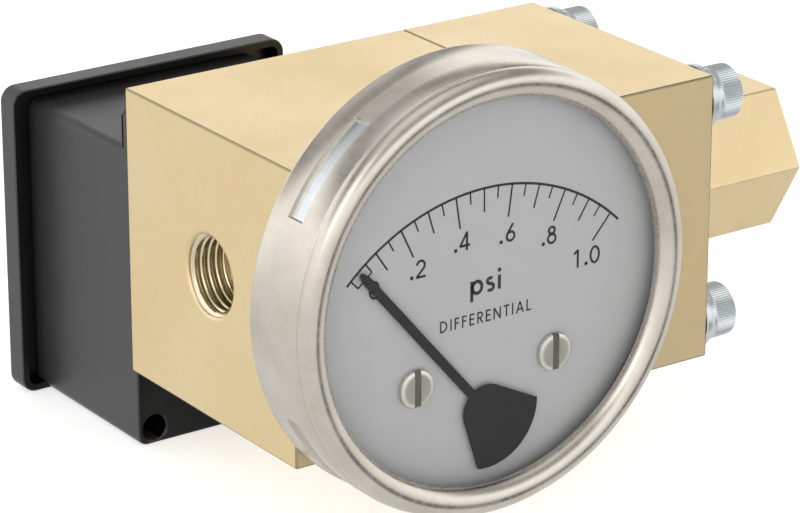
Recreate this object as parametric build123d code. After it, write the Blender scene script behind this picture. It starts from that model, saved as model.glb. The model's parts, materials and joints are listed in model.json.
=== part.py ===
from build123d import *
import math
import os

# X runs along the pressure axis from the high-pressure port face towards the low-pressure
# port, the dial faces -Y and +Z is up. All sizes are in millimetres. The model is drawn from
# the port face, and export moves it so that the origin is where the port's straight wall begins.

# Pressure body and cover, two square brass blocks on one axis
BLOCK = 50.8
FACE = BLOCK / 2
BODY_LENGTH = 56.1
COVER_LENGTH = 28.4
COVER_END = BODY_LENGTH + COVER_LENGTH
EDGE_BREAK = 0.35

# 1/4-18 NPT ports, at the thread's major radius
PORT_RADIUS = 6.95
PORT_DEPTH = 15.0
PORT_CHAMFER = 0.95
PASSAGE_RADIUS = 4.0

# Hexagonal spring housing
HEX_FLATS = 25.4
HEX_LENGTH = 29.2
HEX_END = COVER_END + HEX_LENGTH
SPIGOT_RADIUS = 9.45
SPIGOT_LENGTH = 12.5
HOUSING_BORE = 8.0
HOUSING_ORING_WIRE = 0.9
HOUSING_ORING_GROOVE = 1.7

# Cover screws, 1/4 inch socket head cap screws on split washers
SCREW_OFFSET = 19.9
SCREW_HEAD_RADIUS = 4.76
SCREW_HEAD_HEIGHT = 6.35
SCREW_SHANK_RADIUS = 3.175
SCREW_LENGTH = 44.45
SCREW_SOCKET_FLATS = 4.76
SCREW_SOCKET_DEPTH = 3.4
SCREW_HOLE_RADIUS = 3.25
SCREW_HOLE_END = 39.0
WASHER_RADIUS = 5.75
WASHER_THICKNESS = 1.2
WASHER_SPLIT = 0.8

# Diaphragm chamber and the magnet carrier that the diaphragm moves
CHAMBER_RADIUS = 19.0
BODY_CHAMBER_DEPTH = 4.0
COVER_CHAMBER_DEPTH = 8.6
DIAPHRAGM_THICKNESS = 1.2
DIAPHRAGM_RADIUS = 22.4
PLATE_RADIUS = 14.0
PLATE_THICKNESS = 1.5
CARRIER_RADIUS = 12.0
CARRIER_FIT = 0.05
CARRIER_START = 18.4
BORE_START = 18.0
CARRIER_SCREW_RADIUS = 2.0
MAGNET_RADIUS = 2.5
MAGNET_LENGTH = 12.0
MAGNET_START = 19.8

# Range spring and its adjuster
SPRING_RADIUS = 6.4
SPRING_WIRE = 0.6
SPRING_TURNS = 8
ADJUSTER_START = 88.0
ADJUSTER_LENGTH = 5.0

# Gauge head: its axis runs along -Y, and depths are measured forward of the body's front face
GAUGE_X = 28.5
GAUGE_Z = 3.2
CASE_RADIUS = 36.4
CASE_INNER = 34.9
CASE_BASE = 2.0
CASE_DEPTH = 11.6
GROOVE_RADIUS = 35.6
GROOVE_START = 4.9
GROOVE_END = 10.4
DIAL_RADIUS = 34.6
DIAL_BACK = 11.2
DIAL_FRONT = 12.0
WINDOW_RADIUS = 36.1
WINDOW_BACK = 13.28
WINDOW_FRONT = 14.06
GASKET_INNER = 34.95
BEZEL_RADIUS = 37.7
BEZEL_BORE = 36.75
BEZEL_BACK = 1.5
BEZEL_BAND_END = 13.7
BEZEL_FRONT = 16.7
LIP_RADIUS = 32.7
LIP_BACK = 14.1
LIP_FRONT = 14.9
BAYONET_ANGLES = (39.6, 137.6, 219.6, 317.6)
BAYONET_ARC = 28.4
BAYONET_BACK = 5.8
BAYONET_FRONT = 9.7
BAYONET_PRESS = 0.8
BAYONET_TWIST = 31.0

# Pointer and its magnetic follower
PIVOT_X = GAUGE_X
PIVOT_Z = -17.5
ZERO_ANGLE = 40.2
POINTER_LENGTH = 37.8
POINTER_HALF_WIDTH = 0.8
POINTER_TIP = 2.4
HUB_RADIUS = 4.55
TAIL_RADIUS = 10.0
TAIL_HALF_ANGLE = 50.0
POINTER_BACK = 12.5
POINTER_FRONT = 12.9
SHAFT_RADIUS = 0.5
ROTOR_RADIUS = 5.0
ROTOR_POCKET = 6.2
ROTOR_POCKET_DEPTH = 10.0
BEARING_THICKNESS = 1.8
BRIDGE_BACK = 7.4
BRIDGE_FRONT = 8.6
BRIDGE_SCREW_OFFSET = 11.0
DIAL_SCREW_OFFSET = 13.7
DIAL_SCREW_Z = -10.5
DIAL_SCREW_RADIUS = 3.25
CASE_SCREW_OFFSET = 20.0
CASE_SCREW_ZS = (-1.8, 12.2)

# Switch enclosure behind the body
BOX_LEFT = 1.0
BOX_RIGHT = 47.5
BOX_BOTTOM = -39.9
BOX_TOP = 13.6
BOX_BACK = 59.6
BOX_WALL = 2.2
FRONT_WALL = 3.3
BOX_CORNER = 1.8
TAB_TOP = 22.4
TAB_CHAMFER = 2.7
LID_LEFT = -3.7
LID_RIGHT = 52.2
LID_TOP = 16.4
LID_FRONT = 57.1
LID_BACK = 61.6
LID_PLATE = 60.1
LID_RIM = 1.3
LID_CORNER = 2.7
LID_CLEARANCE = 0.05
WELL_XS = (4.3, 44.2)
WELL_ZS = (-37.1, 10.8)
WELL_RADIUS = 3.4
WELL_END = 52.0
WELL_BORE = 2.3
WELL_SHOULDER = 47.4
CONDUIT_RADIUS = 11.1
CONDUIT_Y = 44.0
CONDUIT_Z = -14.0

# Reed switch and the screw that moves it along the body's rear slot
SLOT_START = 10.6
SLOT_END = 38.8
SLOT_HALF_HEIGHT = 6.0
SLOT_FLOOR = 15.9
CARRIAGE_START = 17.2
CARRIAGE_END = 32.2
REED_Y = 18.2
REED_RADIUS = 1.35
ADJUST_Y = 31.8
ADJUST_RADIUS = 1.5
EAR_THICKNESS = 1.2
FRAME_FRONT = FACE + FRONT_WALL
FRAME_THICKNESS = 1.0
TERMINAL_XS = (14.0, 23.0, 32.0)
TERMINAL_Z = -27.5
TERMINAL_BACK = 37.0
BOX_SCREWS = ((10.0, 18.0), (34.0, 18.0), (8.0, -17.5), (34.0, -17.5))

FROM_START = (Align.CENTER, Align.CENTER, Align.MIN)


def rod(radius, x0, x1, y=0.0, z=0.0):
    """Cylinder along X from x0 to x1."""
    return Pos(x0, y, z) * Rot(0, 90, 0) * Cylinder(radius, x1 - x0, align=FROM_START)


def post(radius, y0, y1, x, z):
    """Cylinder along Y from y0 to y1."""
    return Pos(x, y0, z) * Rot(-90, 0, 0) * Cylinder(radius, y1 - y0, align=FROM_START)


def slab(x0, x1, y0, y1, z0, z1):
    """Box between two corners."""
    return Pos((x0 + x1) / 2, (y0 + y1) / 2, (z0 + z1) / 2) * Box(x1 - x0, y1 - y0, z1 - z0)


def front(depth):
    """Y of a plane that lies depth in front of the body's front face."""
    return -FACE - depth


def stud(radius, d0, d1, x, z):
    """Cylinder along the gauge axis between two depths."""
    return post(radius, front(d1), front(d0), x, z)


def facing(depth, x, z):
    """Location on the gauge axis side: its Z points forward (-Y) and its Y points up."""
    return Location((x, front(depth), z), (90, 0, 0))


def turned(points, x, z):
    """Solid of revolution about a gauge-axis line, from (radius, depth) points."""
    plane = Plane(origin=(x, -FACE, z), x_dir=(1, 0, 0), z_dir=(0, 0, -1))
    return revolve(plane * make_face(Polyline(*points, close=True)), Axis((x, -FACE, z), (0, -1, 0)))


def group(solids):
    """Separate solids that share one node."""
    return Compound(list(solids))


def corner_places():
    """The four cover screw centres as (y, z)."""
    return [(y, z) for y in (-SCREW_OFFSET, SCREW_OFFSET) for z in (-SCREW_OFFSET, SCREW_OFFSET)]


def case_screw_places():
    return [(GAUGE_X + side, z) for side in (-CASE_SCREW_OFFSET, CASE_SCREW_OFFSET) for z in CASE_SCREW_ZS]


def dial_screw_places():
    return [(GAUGE_X + side, DIAL_SCREW_Z) for side in (-DIAL_SCREW_OFFSET, DIAL_SCREW_OFFSET)]


def bridge_screw_places():
    return [(PIVOT_X + side, PIVOT_Z) for side in (-BRIDGE_SCREW_OFFSET, BRIDGE_SCREW_OFFSET)]


def well_places():
    return [(x, z) for x in WELL_XS for z in WELL_ZS]


def square_block(x0, x1):
    """Square bar with broken edges."""
    bar = slab(x0, x1, -FACE, FACE, -FACE, FACE)
    return chamfer(bar.edges(), EDGE_BREAK)


def port(face_x, inward):
    """Port bore with its mouth chamfer; inward is +1 or -1 along X."""
    ends = sorted((face_x, face_x + inward * PORT_DEPTH))
    mouth = Cone(PORT_RADIUS + PORT_CHAMFER, PORT_RADIUS, PORT_CHAMFER, align=FROM_START)
    return rod(PORT_RADIUS, *ends) + Pos(face_x, 0, 0) * Rot(0, 90 * inward, 0) * mouth


def high_pressure_body():
    body = square_block(0, BODY_LENGTH)
    body -= port(0, 1)
    body -= rod(PASSAGE_RADIUS, PORT_DEPTH, BORE_START)
    body -= rod(CARRIER_RADIUS + CARRIER_FIT, BORE_START, BODY_LENGTH)
    body -= rod(CHAMBER_RADIUS, BODY_LENGTH - BODY_CHAMBER_DEPTH, BODY_LENGTH)
    body -= rod(DIAPHRAGM_RADIUS + 0.1, BODY_LENGTH - DIAPHRAGM_THICKNESS, BODY_LENGTH)
    for y, z in corner_places():
        body -= rod(SCREW_HOLE_RADIUS, SCREW_HOLE_END, BODY_LENGTH, y, z)
    body -= stud(ROTOR_POCKET, -ROTOR_POCKET_DEPTH, 0, PIVOT_X, PIVOT_Z)
    for x, z in case_screw_places():
        body -= stud(1.65, -7.5, 0, x, z)
    body -= slab(SLOT_START, SLOT_END, SLOT_FLOOR, FACE, -SLOT_HALF_HEIGHT, SLOT_HALF_HEIGHT)
    for x, z in BOX_SCREWS:
        body -= post(2.05, FACE - 8.5, FACE, x, z)
    return body


def low_pressure_cover():
    cover = square_block(BODY_LENGTH, COVER_END)
    chamber_end = BODY_LENGTH + COVER_CHAMBER_DEPTH
    cover -= rod(CHAMBER_RADIUS, BODY_LENGTH, chamber_end)
    cover -= rod(SPIGOT_RADIUS + 0.05, chamber_end, COVER_END)
    cover -= rod(SPIGOT_RADIUS + 2 * HOUSING_ORING_WIRE + 0.15, COVER_END - HOUSING_ORING_GROOVE, COVER_END)
    for y, z in corner_places():
        cover -= rod(SCREW_HOLE_RADIUS, BODY_LENGTH, COVER_END, y, z)
    return cover


def hex_prism(flats, x0, x1):
    """Hexagonal bar along X with a flat on top and a corner towards the dial side."""
    outline = RegularPolygon(flats / 2, 6, major_radius=False)
    prism = extrude(Plane(origin=(x0, 0, 0), x_dir=(0, 1, 0), z_dir=(1, 0, 0)) * outline, x1 - x0)
    return prism


def hex_spring_housing():
    housing = chamfer(hex_prism(HEX_FLATS, COVER_END, HEX_END).edges(), 0.3)
    housing += rod(SPIGOT_RADIUS, COVER_END - SPIGOT_LENGTH, COVER_END + 0.5)
    housing -= rod(HOUSING_BORE, COVER_END - SPIGOT_LENGTH, HEX_END - PORT_DEPTH)
    housing -= port(HEX_END, -1)
    return housing


def housing_oring():
    ring = Torus(SPIGOT_RADIUS + HOUSING_ORING_WIRE + 0.05, HOUSING_ORING_WIRE - 0.08)
    return Pos(COVER_END - HOUSING_ORING_GROOVE / 2, 0, 0) * Rot(0, 90, 0) * ring


def spring_adjuster():
    ring = rod(HOUSING_BORE - 0.03, ADJUSTER_START, ADJUSTER_START + ADJUSTER_LENGTH)
    return ring - hex_prism(6.0, ADJUSTER_START, ADJUSTER_START + ADJUSTER_LENGTH)


def range_spring():
    start = BODY_LENGTH + PLATE_THICKNESS + SPRING_WIRE
    height = ADJUSTER_START - SPRING_WIRE - start
    path = Helix(height / SPRING_TURNS, height, SPRING_RADIUS)
    section = Plane(origin=path @ 0, z_dir=path % 0) * Circle(SPRING_WIRE)
    coil = sweep(section, path=path, is_frenet=True)
    return Pos(start, 0, 0) * Rot(0, 90, 0) * coil


def diaphragm():
    """Flat rim and centre joined by one raised convolution."""
    half = DIAPHRAGM_THICKNESS / 2
    middle = BODY_LENGTH - half
    roll = (CHAMBER_RADIUS - PLATE_RADIUS) / 2
    roll_centre = PLATE_RADIUS + roll
    disc = rod(DIAPHRAGM_RADIUS, middle - half, middle + half)
    disc -= rod(CARRIER_SCREW_RADIUS + 0.1, middle - half, middle + half)
    disc -= rod(roll_centre + roll - 0.6, middle - half, middle + half) - rod(
        roll_centre - roll + 0.6, middle - half, middle + half)
    outer = Torus(roll_centre, roll)
    inner = Torus(roll_centre, roll - DIAPHRAGM_THICKNESS + 0.2)
    bead = Pos(middle - half, 0, 0) * Rot(0, 90, 0) * (outer - inner)
    bead &= rod(CHAMBER_RADIUS + 0.5, middle - half, middle + 2 * roll)
    return disc + bead


def support_plate(x0):
    plate = rod(PLATE_RADIUS, x0, x0 + PLATE_THICKNESS)
    return plate - rod(CARRIER_SCREW_RADIUS + 0.1, x0, x0 + PLATE_THICKNESS)


def high_side_plate():
    return support_plate(BODY_LENGTH - DIAPHRAGM_THICKNESS - PLATE_THICKNESS)


def low_side_plate():
    return support_plate(BODY_LENGTH)


def carrier_screw():
    head_start = BODY_LENGTH + PLATE_THICKNESS
    screw = rod(3.5, head_start, head_start + 2.8)
    screw -= hex_prism(2.5, head_start + 1.2, head_start + 2.8)
    return screw + rod(CARRIER_SCREW_RADIUS, 40.0, head_start)


def magnet_places():
    """The two magnet axes in the carrier as (y, z): towards the pointer and the switch."""
    return [(-6.2, -5.4), (8.6, 0.0)]


def magnet_carrier():
    """Plastic spool with pressure flutes, two magnet pockets and a plate boss."""
    end = BODY_LENGTH - BODY_CHAMBER_DEPTH - 1.0
    carrier = rod(CARRIER_RADIUS, CARRIER_START, end)
    carrier += rod(6.0, end, BODY_LENGTH - DIAPHRAGM_THICKNESS - PLATE_THICKNESS)
    carrier -= rod(CARRIER_SCREW_RADIUS, 38.0, BODY_LENGTH)
    for z in (-CARRIER_RADIUS, CARRIER_RADIUS):
        carrier -= Pos((CARRIER_START + end) / 2, 2.5, z) * Box(end - CARRIER_START, 4.0, 4.0)
    for y, z in magnet_places():
        carrier -= rod(MAGNET_RADIUS, CARRIER_START, MAGNET_START + MAGNET_LENGTH, y, z)
    return carrier


def carrier_magnet(place):
    return rod(MAGNET_RADIUS, MAGNET_START, MAGNET_START + MAGNET_LENGTH, *place)


def slotted_head(radius, height, slot_width, slot_depth, edge):
    """Round slotted head on Z = 0, its slot along X."""
    head = Cylinder(radius, height, align=FROM_START)
    head = chamfer(head.faces().sort_by(Axis.Z)[-1].edges(), edge)
    return head - Pos(0, 0, height - slot_depth / 2) * Box(2.2 * radius, slot_width, slot_depth)


def socket_screw(y, z):
    seat = COVER_END + WASHER_THICKNESS
    head = Cylinder(SCREW_HEAD_RADIUS, SCREW_HEAD_HEIGHT, align=FROM_START)
    head = chamfer(head.faces().sort_by(Axis.Z)[-1].edges(), 0.5)
    screw = Pos(seat, y, z) * Rot(0, 90, 0) * head
    socket = Pos(0, y, z) * hex_prism(SCREW_SOCKET_FLATS, seat + SCREW_HEAD_HEIGHT - SCREW_SOCKET_DEPTH,
                                      seat + SCREW_HEAD_HEIGHT)
    return screw - socket + rod(SCREW_SHANK_RADIUS, seat - SCREW_LENGTH, seat, y, z)


def split_washer(y, z):
    washer = rod(WASHER_RADIUS, COVER_END, COVER_END + WASHER_THICKNESS, y, z)
    washer -= rod(SCREW_SHANK_RADIUS + 0.15, COVER_END, COVER_END + WASHER_THICKNESS, y, z)
    side = 1 if y > 0 else -1
    gap = slab(COVER_END, COVER_END + WASHER_THICKNESS, -WASHER_SPLIT / 2, WASHER_SPLIT / 2, 0, 8)
    return washer - Pos(0, y, z) * Rot(-25 * side, 0, 0) * gap


def gauge_ring_sector(r0, r1, d0, d1, centre, arc):
    """Sector of a ring about the gauge axis; angles run from +X towards +Z."""
    ring = stud(r1, d0, d1, GAUGE_X, GAUGE_Z) - stud(r0, d0, d1, GAUGE_X, GAUGE_Z)
    reach = 2 * BEZEL_RADIUS
    half = math.radians(arc / 2)
    wedge = Polyline((0, 0), (reach * math.cos(half), -reach * math.sin(half)),
                     (reach * math.cos(half), reach * math.sin(half)), close=True)
    place = facing(d0, GAUGE_X, GAUGE_Z) * Rot(0, 0, centre)
    return ring & place * extrude(make_face(wedge), d1 - d0)


def bezel():
    """Rolled ring with a flat band, a stepped crease, a round front roll and a thin lip."""
    outer = Polyline((LIP_RADIUS, LIP_FRONT), (LIP_RADIUS, LIP_BACK), (BEZEL_BORE, LIP_BACK),
                     (BEZEL_BORE, BEZEL_BACK), (BEZEL_RADIUS + 0.15, BEZEL_BACK),
                     (BEZEL_RADIUS + 0.15, BEZEL_BACK + 0.5), (BEZEL_RADIUS, BEZEL_BACK + 0.65),
                     (BEZEL_RADIUS, BEZEL_BAND_END), (BEZEL_RADIUS - 0.25, BEZEL_BAND_END + 0.35))
    roll = Spline((BEZEL_RADIUS - 0.25, BEZEL_BAND_END + 0.35), (BEZEL_RADIUS - 0.75, BEZEL_FRONT - 1.0),
                  (BEZEL_RADIUS - 2.4, BEZEL_FRONT), (LIP_RADIUS + 1.6, BEZEL_FRONT - 0.8),
                  (LIP_RADIUS, LIP_FRONT), tangents=((0.2, 1.0), (-1.0, -0.75)))
    plane = Plane(origin=(GAUGE_X, -FACE, GAUGE_Z), x_dir=(1, 0, 0), z_dir=(0, 0, -1))
    profile = make_face(Curve() + [outer, roll])
    ring = revolve(plane * profile, Axis((GAUGE_X, -FACE, GAUGE_Z), (0, -1, 0)))
    for centre in BAYONET_ANGLES:
        ring -= gauge_ring_sector(BEZEL_RADIUS - BAYONET_PRESS, BEZEL_RADIUS + 1, BAYONET_BACK,
                                  BAYONET_FRONT, centre, BAYONET_ARC)
        ring += gauge_ring_sector(BEZEL_BORE - BAYONET_PRESS, BEZEL_BORE + 0.1, BAYONET_BACK,
                                  BAYONET_FRONT, centre, BAYONET_ARC)
    return ring


def dial_case():
    """Drawn pan with a bayonet groove; gaps in its front flange let the bezel's tongues in."""
    case = turned([(0, 0), (CASE_RADIUS - 0.8, 0), (CASE_RADIUS, 0.8), (CASE_RADIUS, GROOVE_START),
                   (GROOVE_RADIUS, GROOVE_START), (GROOVE_RADIUS, GROOVE_END), (CASE_RADIUS, GROOVE_END),
                   (CASE_RADIUS, CASE_DEPTH), (CASE_INNER, CASE_DEPTH), (CASE_INNER, CASE_BASE),
                   (0, CASE_BASE)], GAUGE_X, GAUGE_Z)
    for centre in BAYONET_ANGLES:
        case -= gauge_ring_sector(GROOVE_RADIUS, CASE_RADIUS + 1, GROOVE_END, CASE_DEPTH,
                                  centre + BAYONET_TWIST, BAYONET_ARC + 2)
    for x, z in dial_screw_places():
        case += stud(3.0, CASE_BASE, DIAL_BACK, x, z)
        case -= stud(1.45, CASE_BASE, DIAL_BACK, x, z)
    for x, z in bridge_screw_places():
        case += stud(2.4, CASE_BASE, BRIDGE_BACK, x, z)
        case -= stud(1.0, CASE_BASE, BRIDGE_BACK, x, z)
    for x, z in case_screw_places():
        case -= stud(1.75, 0, CASE_BASE, x, z)
    return case - stud(ROTOR_POCKET, 0, CASE_BASE, PIVOT_X, PIVOT_Z)


def panel_screw(radius, height, shank_radius, seat, end, x, z, slot_width):
    """Slotted screw along the gauge axis, its head in front of the seat depth."""
    head = slotted_head(radius, height, slot_width, height * 0.6, min(0.35, height / 3))
    placed = facing(seat, x, z) * Rot(0, 0, 90) * head
    return placed + stud(shank_radius, end, seat, x, z)


def case_screws():
    return group(panel_screw(3.0, 1.8, 1.6, CASE_BASE, -7.0, x, z, 0.8) for x, z in case_screw_places())


def dial_screws():
    return group(panel_screw(DIAL_SCREW_RADIUS, 0.95, 1.45, DIAL_FRONT, 5.0, x, z, 1.25)
                 for x, z in dial_screw_places())


def bridge_screws():
    return group(panel_screw(1.9, 1.0, 1.0, BRIDGE_FRONT, 3.0, x, z, 0.5) for x, z in bridge_screw_places())


def dial_plate():
    plate = stud(DIAL_RADIUS, DIAL_BACK, DIAL_FRONT, GAUGE_X, GAUGE_Z)
    for x, z in dial_screw_places():
        plate -= stud(1.55, DIAL_BACK, DIAL_FRONT, x, z)
    return plate - stud(2.4, DIAL_BACK, DIAL_FRONT, PIVOT_X, PIVOT_Z)


def window():
    return stud(WINDOW_RADIUS, WINDOW_BACK, WINDOW_FRONT, GAUGE_X, GAUGE_Z)


def window_gasket():
    gasket = stud(WINDOW_RADIUS, CASE_DEPTH + 0.02, WINDOW_BACK - 0.02, GAUGE_X, GAUGE_Z)
    return gasket - stud(GASKET_INNER, CASE_DEPTH, WINDOW_BACK, GAUGE_X, GAUGE_Z)


def movement_bridge():
    y0, y1 = front(BRIDGE_FRONT), front(BRIDGE_BACK)
    bridge = slab(PIVOT_X - 14, PIVOT_X + 14, y0, y1, PIVOT_Z - 3.4, PIVOT_Z + 3.4)
    for x, z in bridge_screw_places():
        bridge -= stud(1.05, BRIDGE_BACK, BRIDGE_FRONT, x, z)
    return bridge - stud(2.0, BRIDGE_BACK, BRIDGE_FRONT, PIVOT_X, PIVOT_Z)


def front_bearing():
    bush = stud(2.0, BRIDGE_BACK, BRIDGE_FRONT, PIVOT_X, PIVOT_Z)
    return bush - stud(SHAFT_RADIUS + 0.04, BRIDGE_BACK, BRIDGE_FRONT, PIVOT_X, PIVOT_Z)


def rear_bearing():
    floor = -ROTOR_POCKET_DEPTH
    bush = stud(ROTOR_POCKET - 0.05, floor, floor + BEARING_THICKNESS, PIVOT_X, PIVOT_Z)
    return bush - stud(SHAFT_RADIUS + 0.04, floor + 0.5, floor + BEARING_THICKNESS, PIVOT_X, PIVOT_Z)


def pointer_shaft():
    shaft = stud(SHAFT_RADIUS, -ROTOR_POCKET_DEPTH + 0.6, POINTER_BACK, PIVOT_X, PIVOT_Z)
    return shaft + stud(1.6, BRIDGE_FRONT + 0.4, POINTER_BACK, PIVOT_X, PIVOT_Z)


def rotor_magnet():
    d0 = -ROTOR_POCKET_DEPTH + BEARING_THICKNESS + 0.8
    rotor = stud(ROTOR_RADIUS, d0, d0 + 6.0, PIVOT_X, PIVOT_Z)
    return rotor - stud(SHAFT_RADIUS, d0, d0 + 6.0, PIVOT_X, PIVOT_Z)


def pointer():
    """Flat blade with an ogive tip, a round hub and a fan-shaped counterweight."""
    tip_base = POINTER_LENGTH - POINTER_TIP
    blade = Polyline((POINTER_HALF_WIDTH, tip_base), (POINTER_HALF_WIDTH, 0), (-POINTER_HALF_WIDTH, 0),
                     (-POINTER_HALF_WIDTH, tip_base))
    mid = (POINTER_HALF_WIDTH * 0.72, POINTER_LENGTH - POINTER_TIP * 0.45)
    right = ThreePointArc((0, POINTER_LENGTH), mid, (POINTER_HALF_WIDTH, tip_base))
    left = ThreePointArc((-POINTER_HALF_WIDTH, tip_base), (-mid[0], mid[1]), (0, POINTER_LENGTH))
    half = math.radians(TAIL_HALF_ANGLE)
    touch = half + math.acos(HUB_RADIUS / TAIL_RADIUS)
    corner = (TAIL_RADIUS * math.sin(half), -TAIL_RADIUS * math.cos(half))
    tangent = (HUB_RADIUS * math.sin(touch), -HUB_RADIUS * math.cos(touch))
    fan = Polyline(corner, tangent, (-tangent[0], tangent[1]), (-corner[0], corner[1]))
    rim = ThreePointArc((-corner[0], corner[1]), (0, -TAIL_RADIUS), corner)
    outline = make_face(Curve() + [blade, right, left]) + make_face(Curve() + [fan, rim]) + Circle(HUB_RADIUS)
    place = facing(POINTER_BACK, PIVOT_X, PIVOT_Z) * Rot(0, 0, ZERO_ANGLE)
    return place * extrude(outline, POINTER_FRONT - POINTER_BACK)


def rounded_bar(x0, x1, y0, y1, z0, z1, radius):
    """Box whose four edges along Y are rounded."""
    return fillet(slab(x0, x1, y0, y1, z0, z1).edges().filter_by(Axis.Y), radius)


def mounting_tab():
    """Front wall's upward tab with chamfered top corners."""
    tab = slab(BOX_LEFT, BOX_RIGHT, FACE, FRAME_FRONT, BOX_TOP - 3, TAB_TOP)
    corners = tab.edges().filter_by(Axis.Y).group_by(Axis.Z)[-1]
    tab = chamfer(corners, TAB_CHAMFER)
    groove_y = FRAME_FRONT - 0.55
    for x in (BOX_LEFT, BOX_RIGHT):
        tab -= slab(x - 0.6, x + 0.6, groove_y - 0.2, groove_y + 0.2, BOX_TOP + 0.3, TAB_TOP - TAB_CHAMFER)
    return tab


def switch_box():
    """Moulded box, open at the back, with corner wells, a mounting tab and a conduit hole."""
    box = rounded_bar(BOX_LEFT, BOX_RIGHT, FACE, BOX_BACK, BOX_BOTTOM, BOX_TOP, BOX_CORNER)
    inside = (BOX_LEFT + BOX_WALL, BOX_RIGHT - BOX_WALL, FRAME_FRONT, BOX_BACK,
              BOX_BOTTOM + BOX_WALL, BOX_TOP - BOX_WALL)
    box -= slab(*inside)
    for x, z in well_places():
        well = post(WELL_RADIUS, FRAME_FRONT - 1, WELL_END, x, z)
        box += well & slab(BOX_LEFT + 1, BOX_RIGHT - 1, FACE, BOX_BACK, BOX_BOTTOM + 1, BOX_TOP - 1)
    box += mounting_tab()
    for x, z in well_places():
        box -= post(WELL_BORE, FACE, WELL_SHOULDER, x, z)
        box -= post(1.6, WELL_SHOULDER, BOX_BACK, x, z)
    for x, z in BOX_SCREWS:
        box -= post(2.15, FACE, FRAME_FRONT, x, z)
    for x, z in bracket_screw_places():
        box -= post(1.05, FRAME_FRONT - 2.6, FRAME_FRONT, x, z)
    box -= slab(SLOT_START, SLOT_END, FACE, FRAME_FRONT, -SLOT_HALF_HEIGHT, SLOT_HALF_HEIGHT)
    return box - rod(CONDUIT_RADIUS, BOX_RIGHT - BOX_WALL, BOX_RIGHT, CONDUIT_Y, CONDUIT_Z)


def switch_cover():
    """Tray-shaped lid: its rim stands clear of the box on three sides, level with it below."""
    lid = rounded_bar(LID_LEFT, LID_RIGHT, LID_FRONT, LID_BACK, BOX_BOTTOM, LID_TOP, LID_CORNER)
    lid -= rounded_bar(LID_LEFT + LID_RIM, LID_RIGHT - LID_RIM, LID_FRONT, LID_PLATE,
                       BOX_BOTTOM + LID_RIM, LID_TOP - LID_RIM, LID_CORNER - LID_RIM)
    gap = LID_CLEARANCE
    lid -= rounded_bar(BOX_LEFT - gap, BOX_RIGHT + gap, LID_FRONT, LID_PLATE,
                       BOX_BOTTOM - gap, BOX_TOP + gap, BOX_CORNER + gap)
    margin = BOX_WALL + 0.1
    inside = slab(BOX_LEFT + margin, BOX_RIGHT - margin, WELL_END, LID_BACK - 0.5,
                  BOX_BOTTOM + margin, BOX_TOP - margin)
    for x, z in well_places():
        lid += post(3.2, WELL_END + 0.1, LID_PLATE + 0.5, x, z) & inside
        lid -= post(1.4, WELL_END + 0.1, LID_PLATE, x, z)
    return lid


def box_ring(y0, y1):
    """Ring that follows the box wall's rear edge."""
    ring = rounded_bar(BOX_LEFT, BOX_RIGHT, y0, y1, BOX_BOTTOM, BOX_TOP, BOX_CORNER)
    return ring - slab(BOX_LEFT + BOX_WALL, BOX_RIGHT - BOX_WALL, y0, y1,
                       BOX_BOTTOM + BOX_WALL, BOX_TOP - BOX_WALL)


def switch_cover_gasket():
    return box_ring(BOX_BACK, LID_PLATE)


def rear_screw(radius, height, shank_radius, seat, end, x, z):
    """Slotted screw along +Y: its head stands behind the seat and its shank runs forward."""
    head = slotted_head(radius, height, 0.25 * radius, height * 0.5, 0.2)
    placed = Pos(x, seat, z) * Rot(-90, 0, 90) * head
    return placed + post(shank_radius, end, seat, x, z)


def switch_cover_screws():
    screws = []
    for x, z in well_places():
        screw = post(2.2, WELL_SHOULDER - 2.4, WELL_SHOULDER, x, z)
        screw -= post(1.1, WELL_SHOULDER - 2.4, WELL_SHOULDER - 1.2, x, z)
        screws.append(screw + post(1.38, WELL_SHOULDER, LID_PLATE - 1.5, x, z))
    return group(screws)


def box_screws():
    return group(rear_screw(3.2, 2.2, 2.0, FRAME_FRONT, FACE - 8.0, x, z) for x, z in BOX_SCREWS)


def ear_starts():
    """Left sides of the adjuster frame's two ears."""
    return (SLOT_START - 2.8, SLOT_END + 0.6)


def bracket_screw_places():
    return [(x, z) for x in (SLOT_START + 3, SLOT_END - 3) for z in (-8.3, 8.3)]


def adjuster_bracket():
    """Flat frame round the slot with an upright ear at each end for the adjusting screw."""
    first, last = ear_starts()
    plate_back = FRAME_FRONT + FRAME_THICKNESS
    bracket = slab(first, last + EAR_THICKNESS, FRAME_FRONT, plate_back, -10.6, 10.6)
    bracket -= slab(SLOT_START, SLOT_END, FRAME_FRONT, plate_back, -SLOT_HALF_HEIGHT, SLOT_HALF_HEIGHT)
    for x in (first, last):
        bracket += slab(x, x + EAR_THICKNESS, FRAME_FRONT, ADJUST_Y + 4, -SLOT_HALF_HEIGHT, SLOT_HALF_HEIGHT)
        bracket -= rod(ADJUST_RADIUS + 0.05, x, x + EAR_THICKNESS, ADJUST_Y)
    for x, z in bracket_screw_places():
        bracket -= post(1.05, FRAME_FRONT, plate_back, x, z)
    return bracket


def bracket_screws():
    seat = FRAME_FRONT + FRAME_THICKNESS
    return group(rear_screw(1.9, 1.1, 1.0, seat, FRAME_FRONT - 2.4, x, z) for x, z in bracket_screw_places())


def adjusting_screw():
    first, last = ear_starts()
    screw = rod(2.8, first - 3.0, first - 0.1, ADJUST_Y)
    screw -= slab(first - 3.0, first - 1.9, ADJUST_Y - 0.4, ADJUST_Y + 0.4, -3, 3)
    screw += rod(ADJUST_RADIUS, first - 0.1, last + EAR_THICKNESS + 0.2, ADJUST_Y)
    return screw


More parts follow.
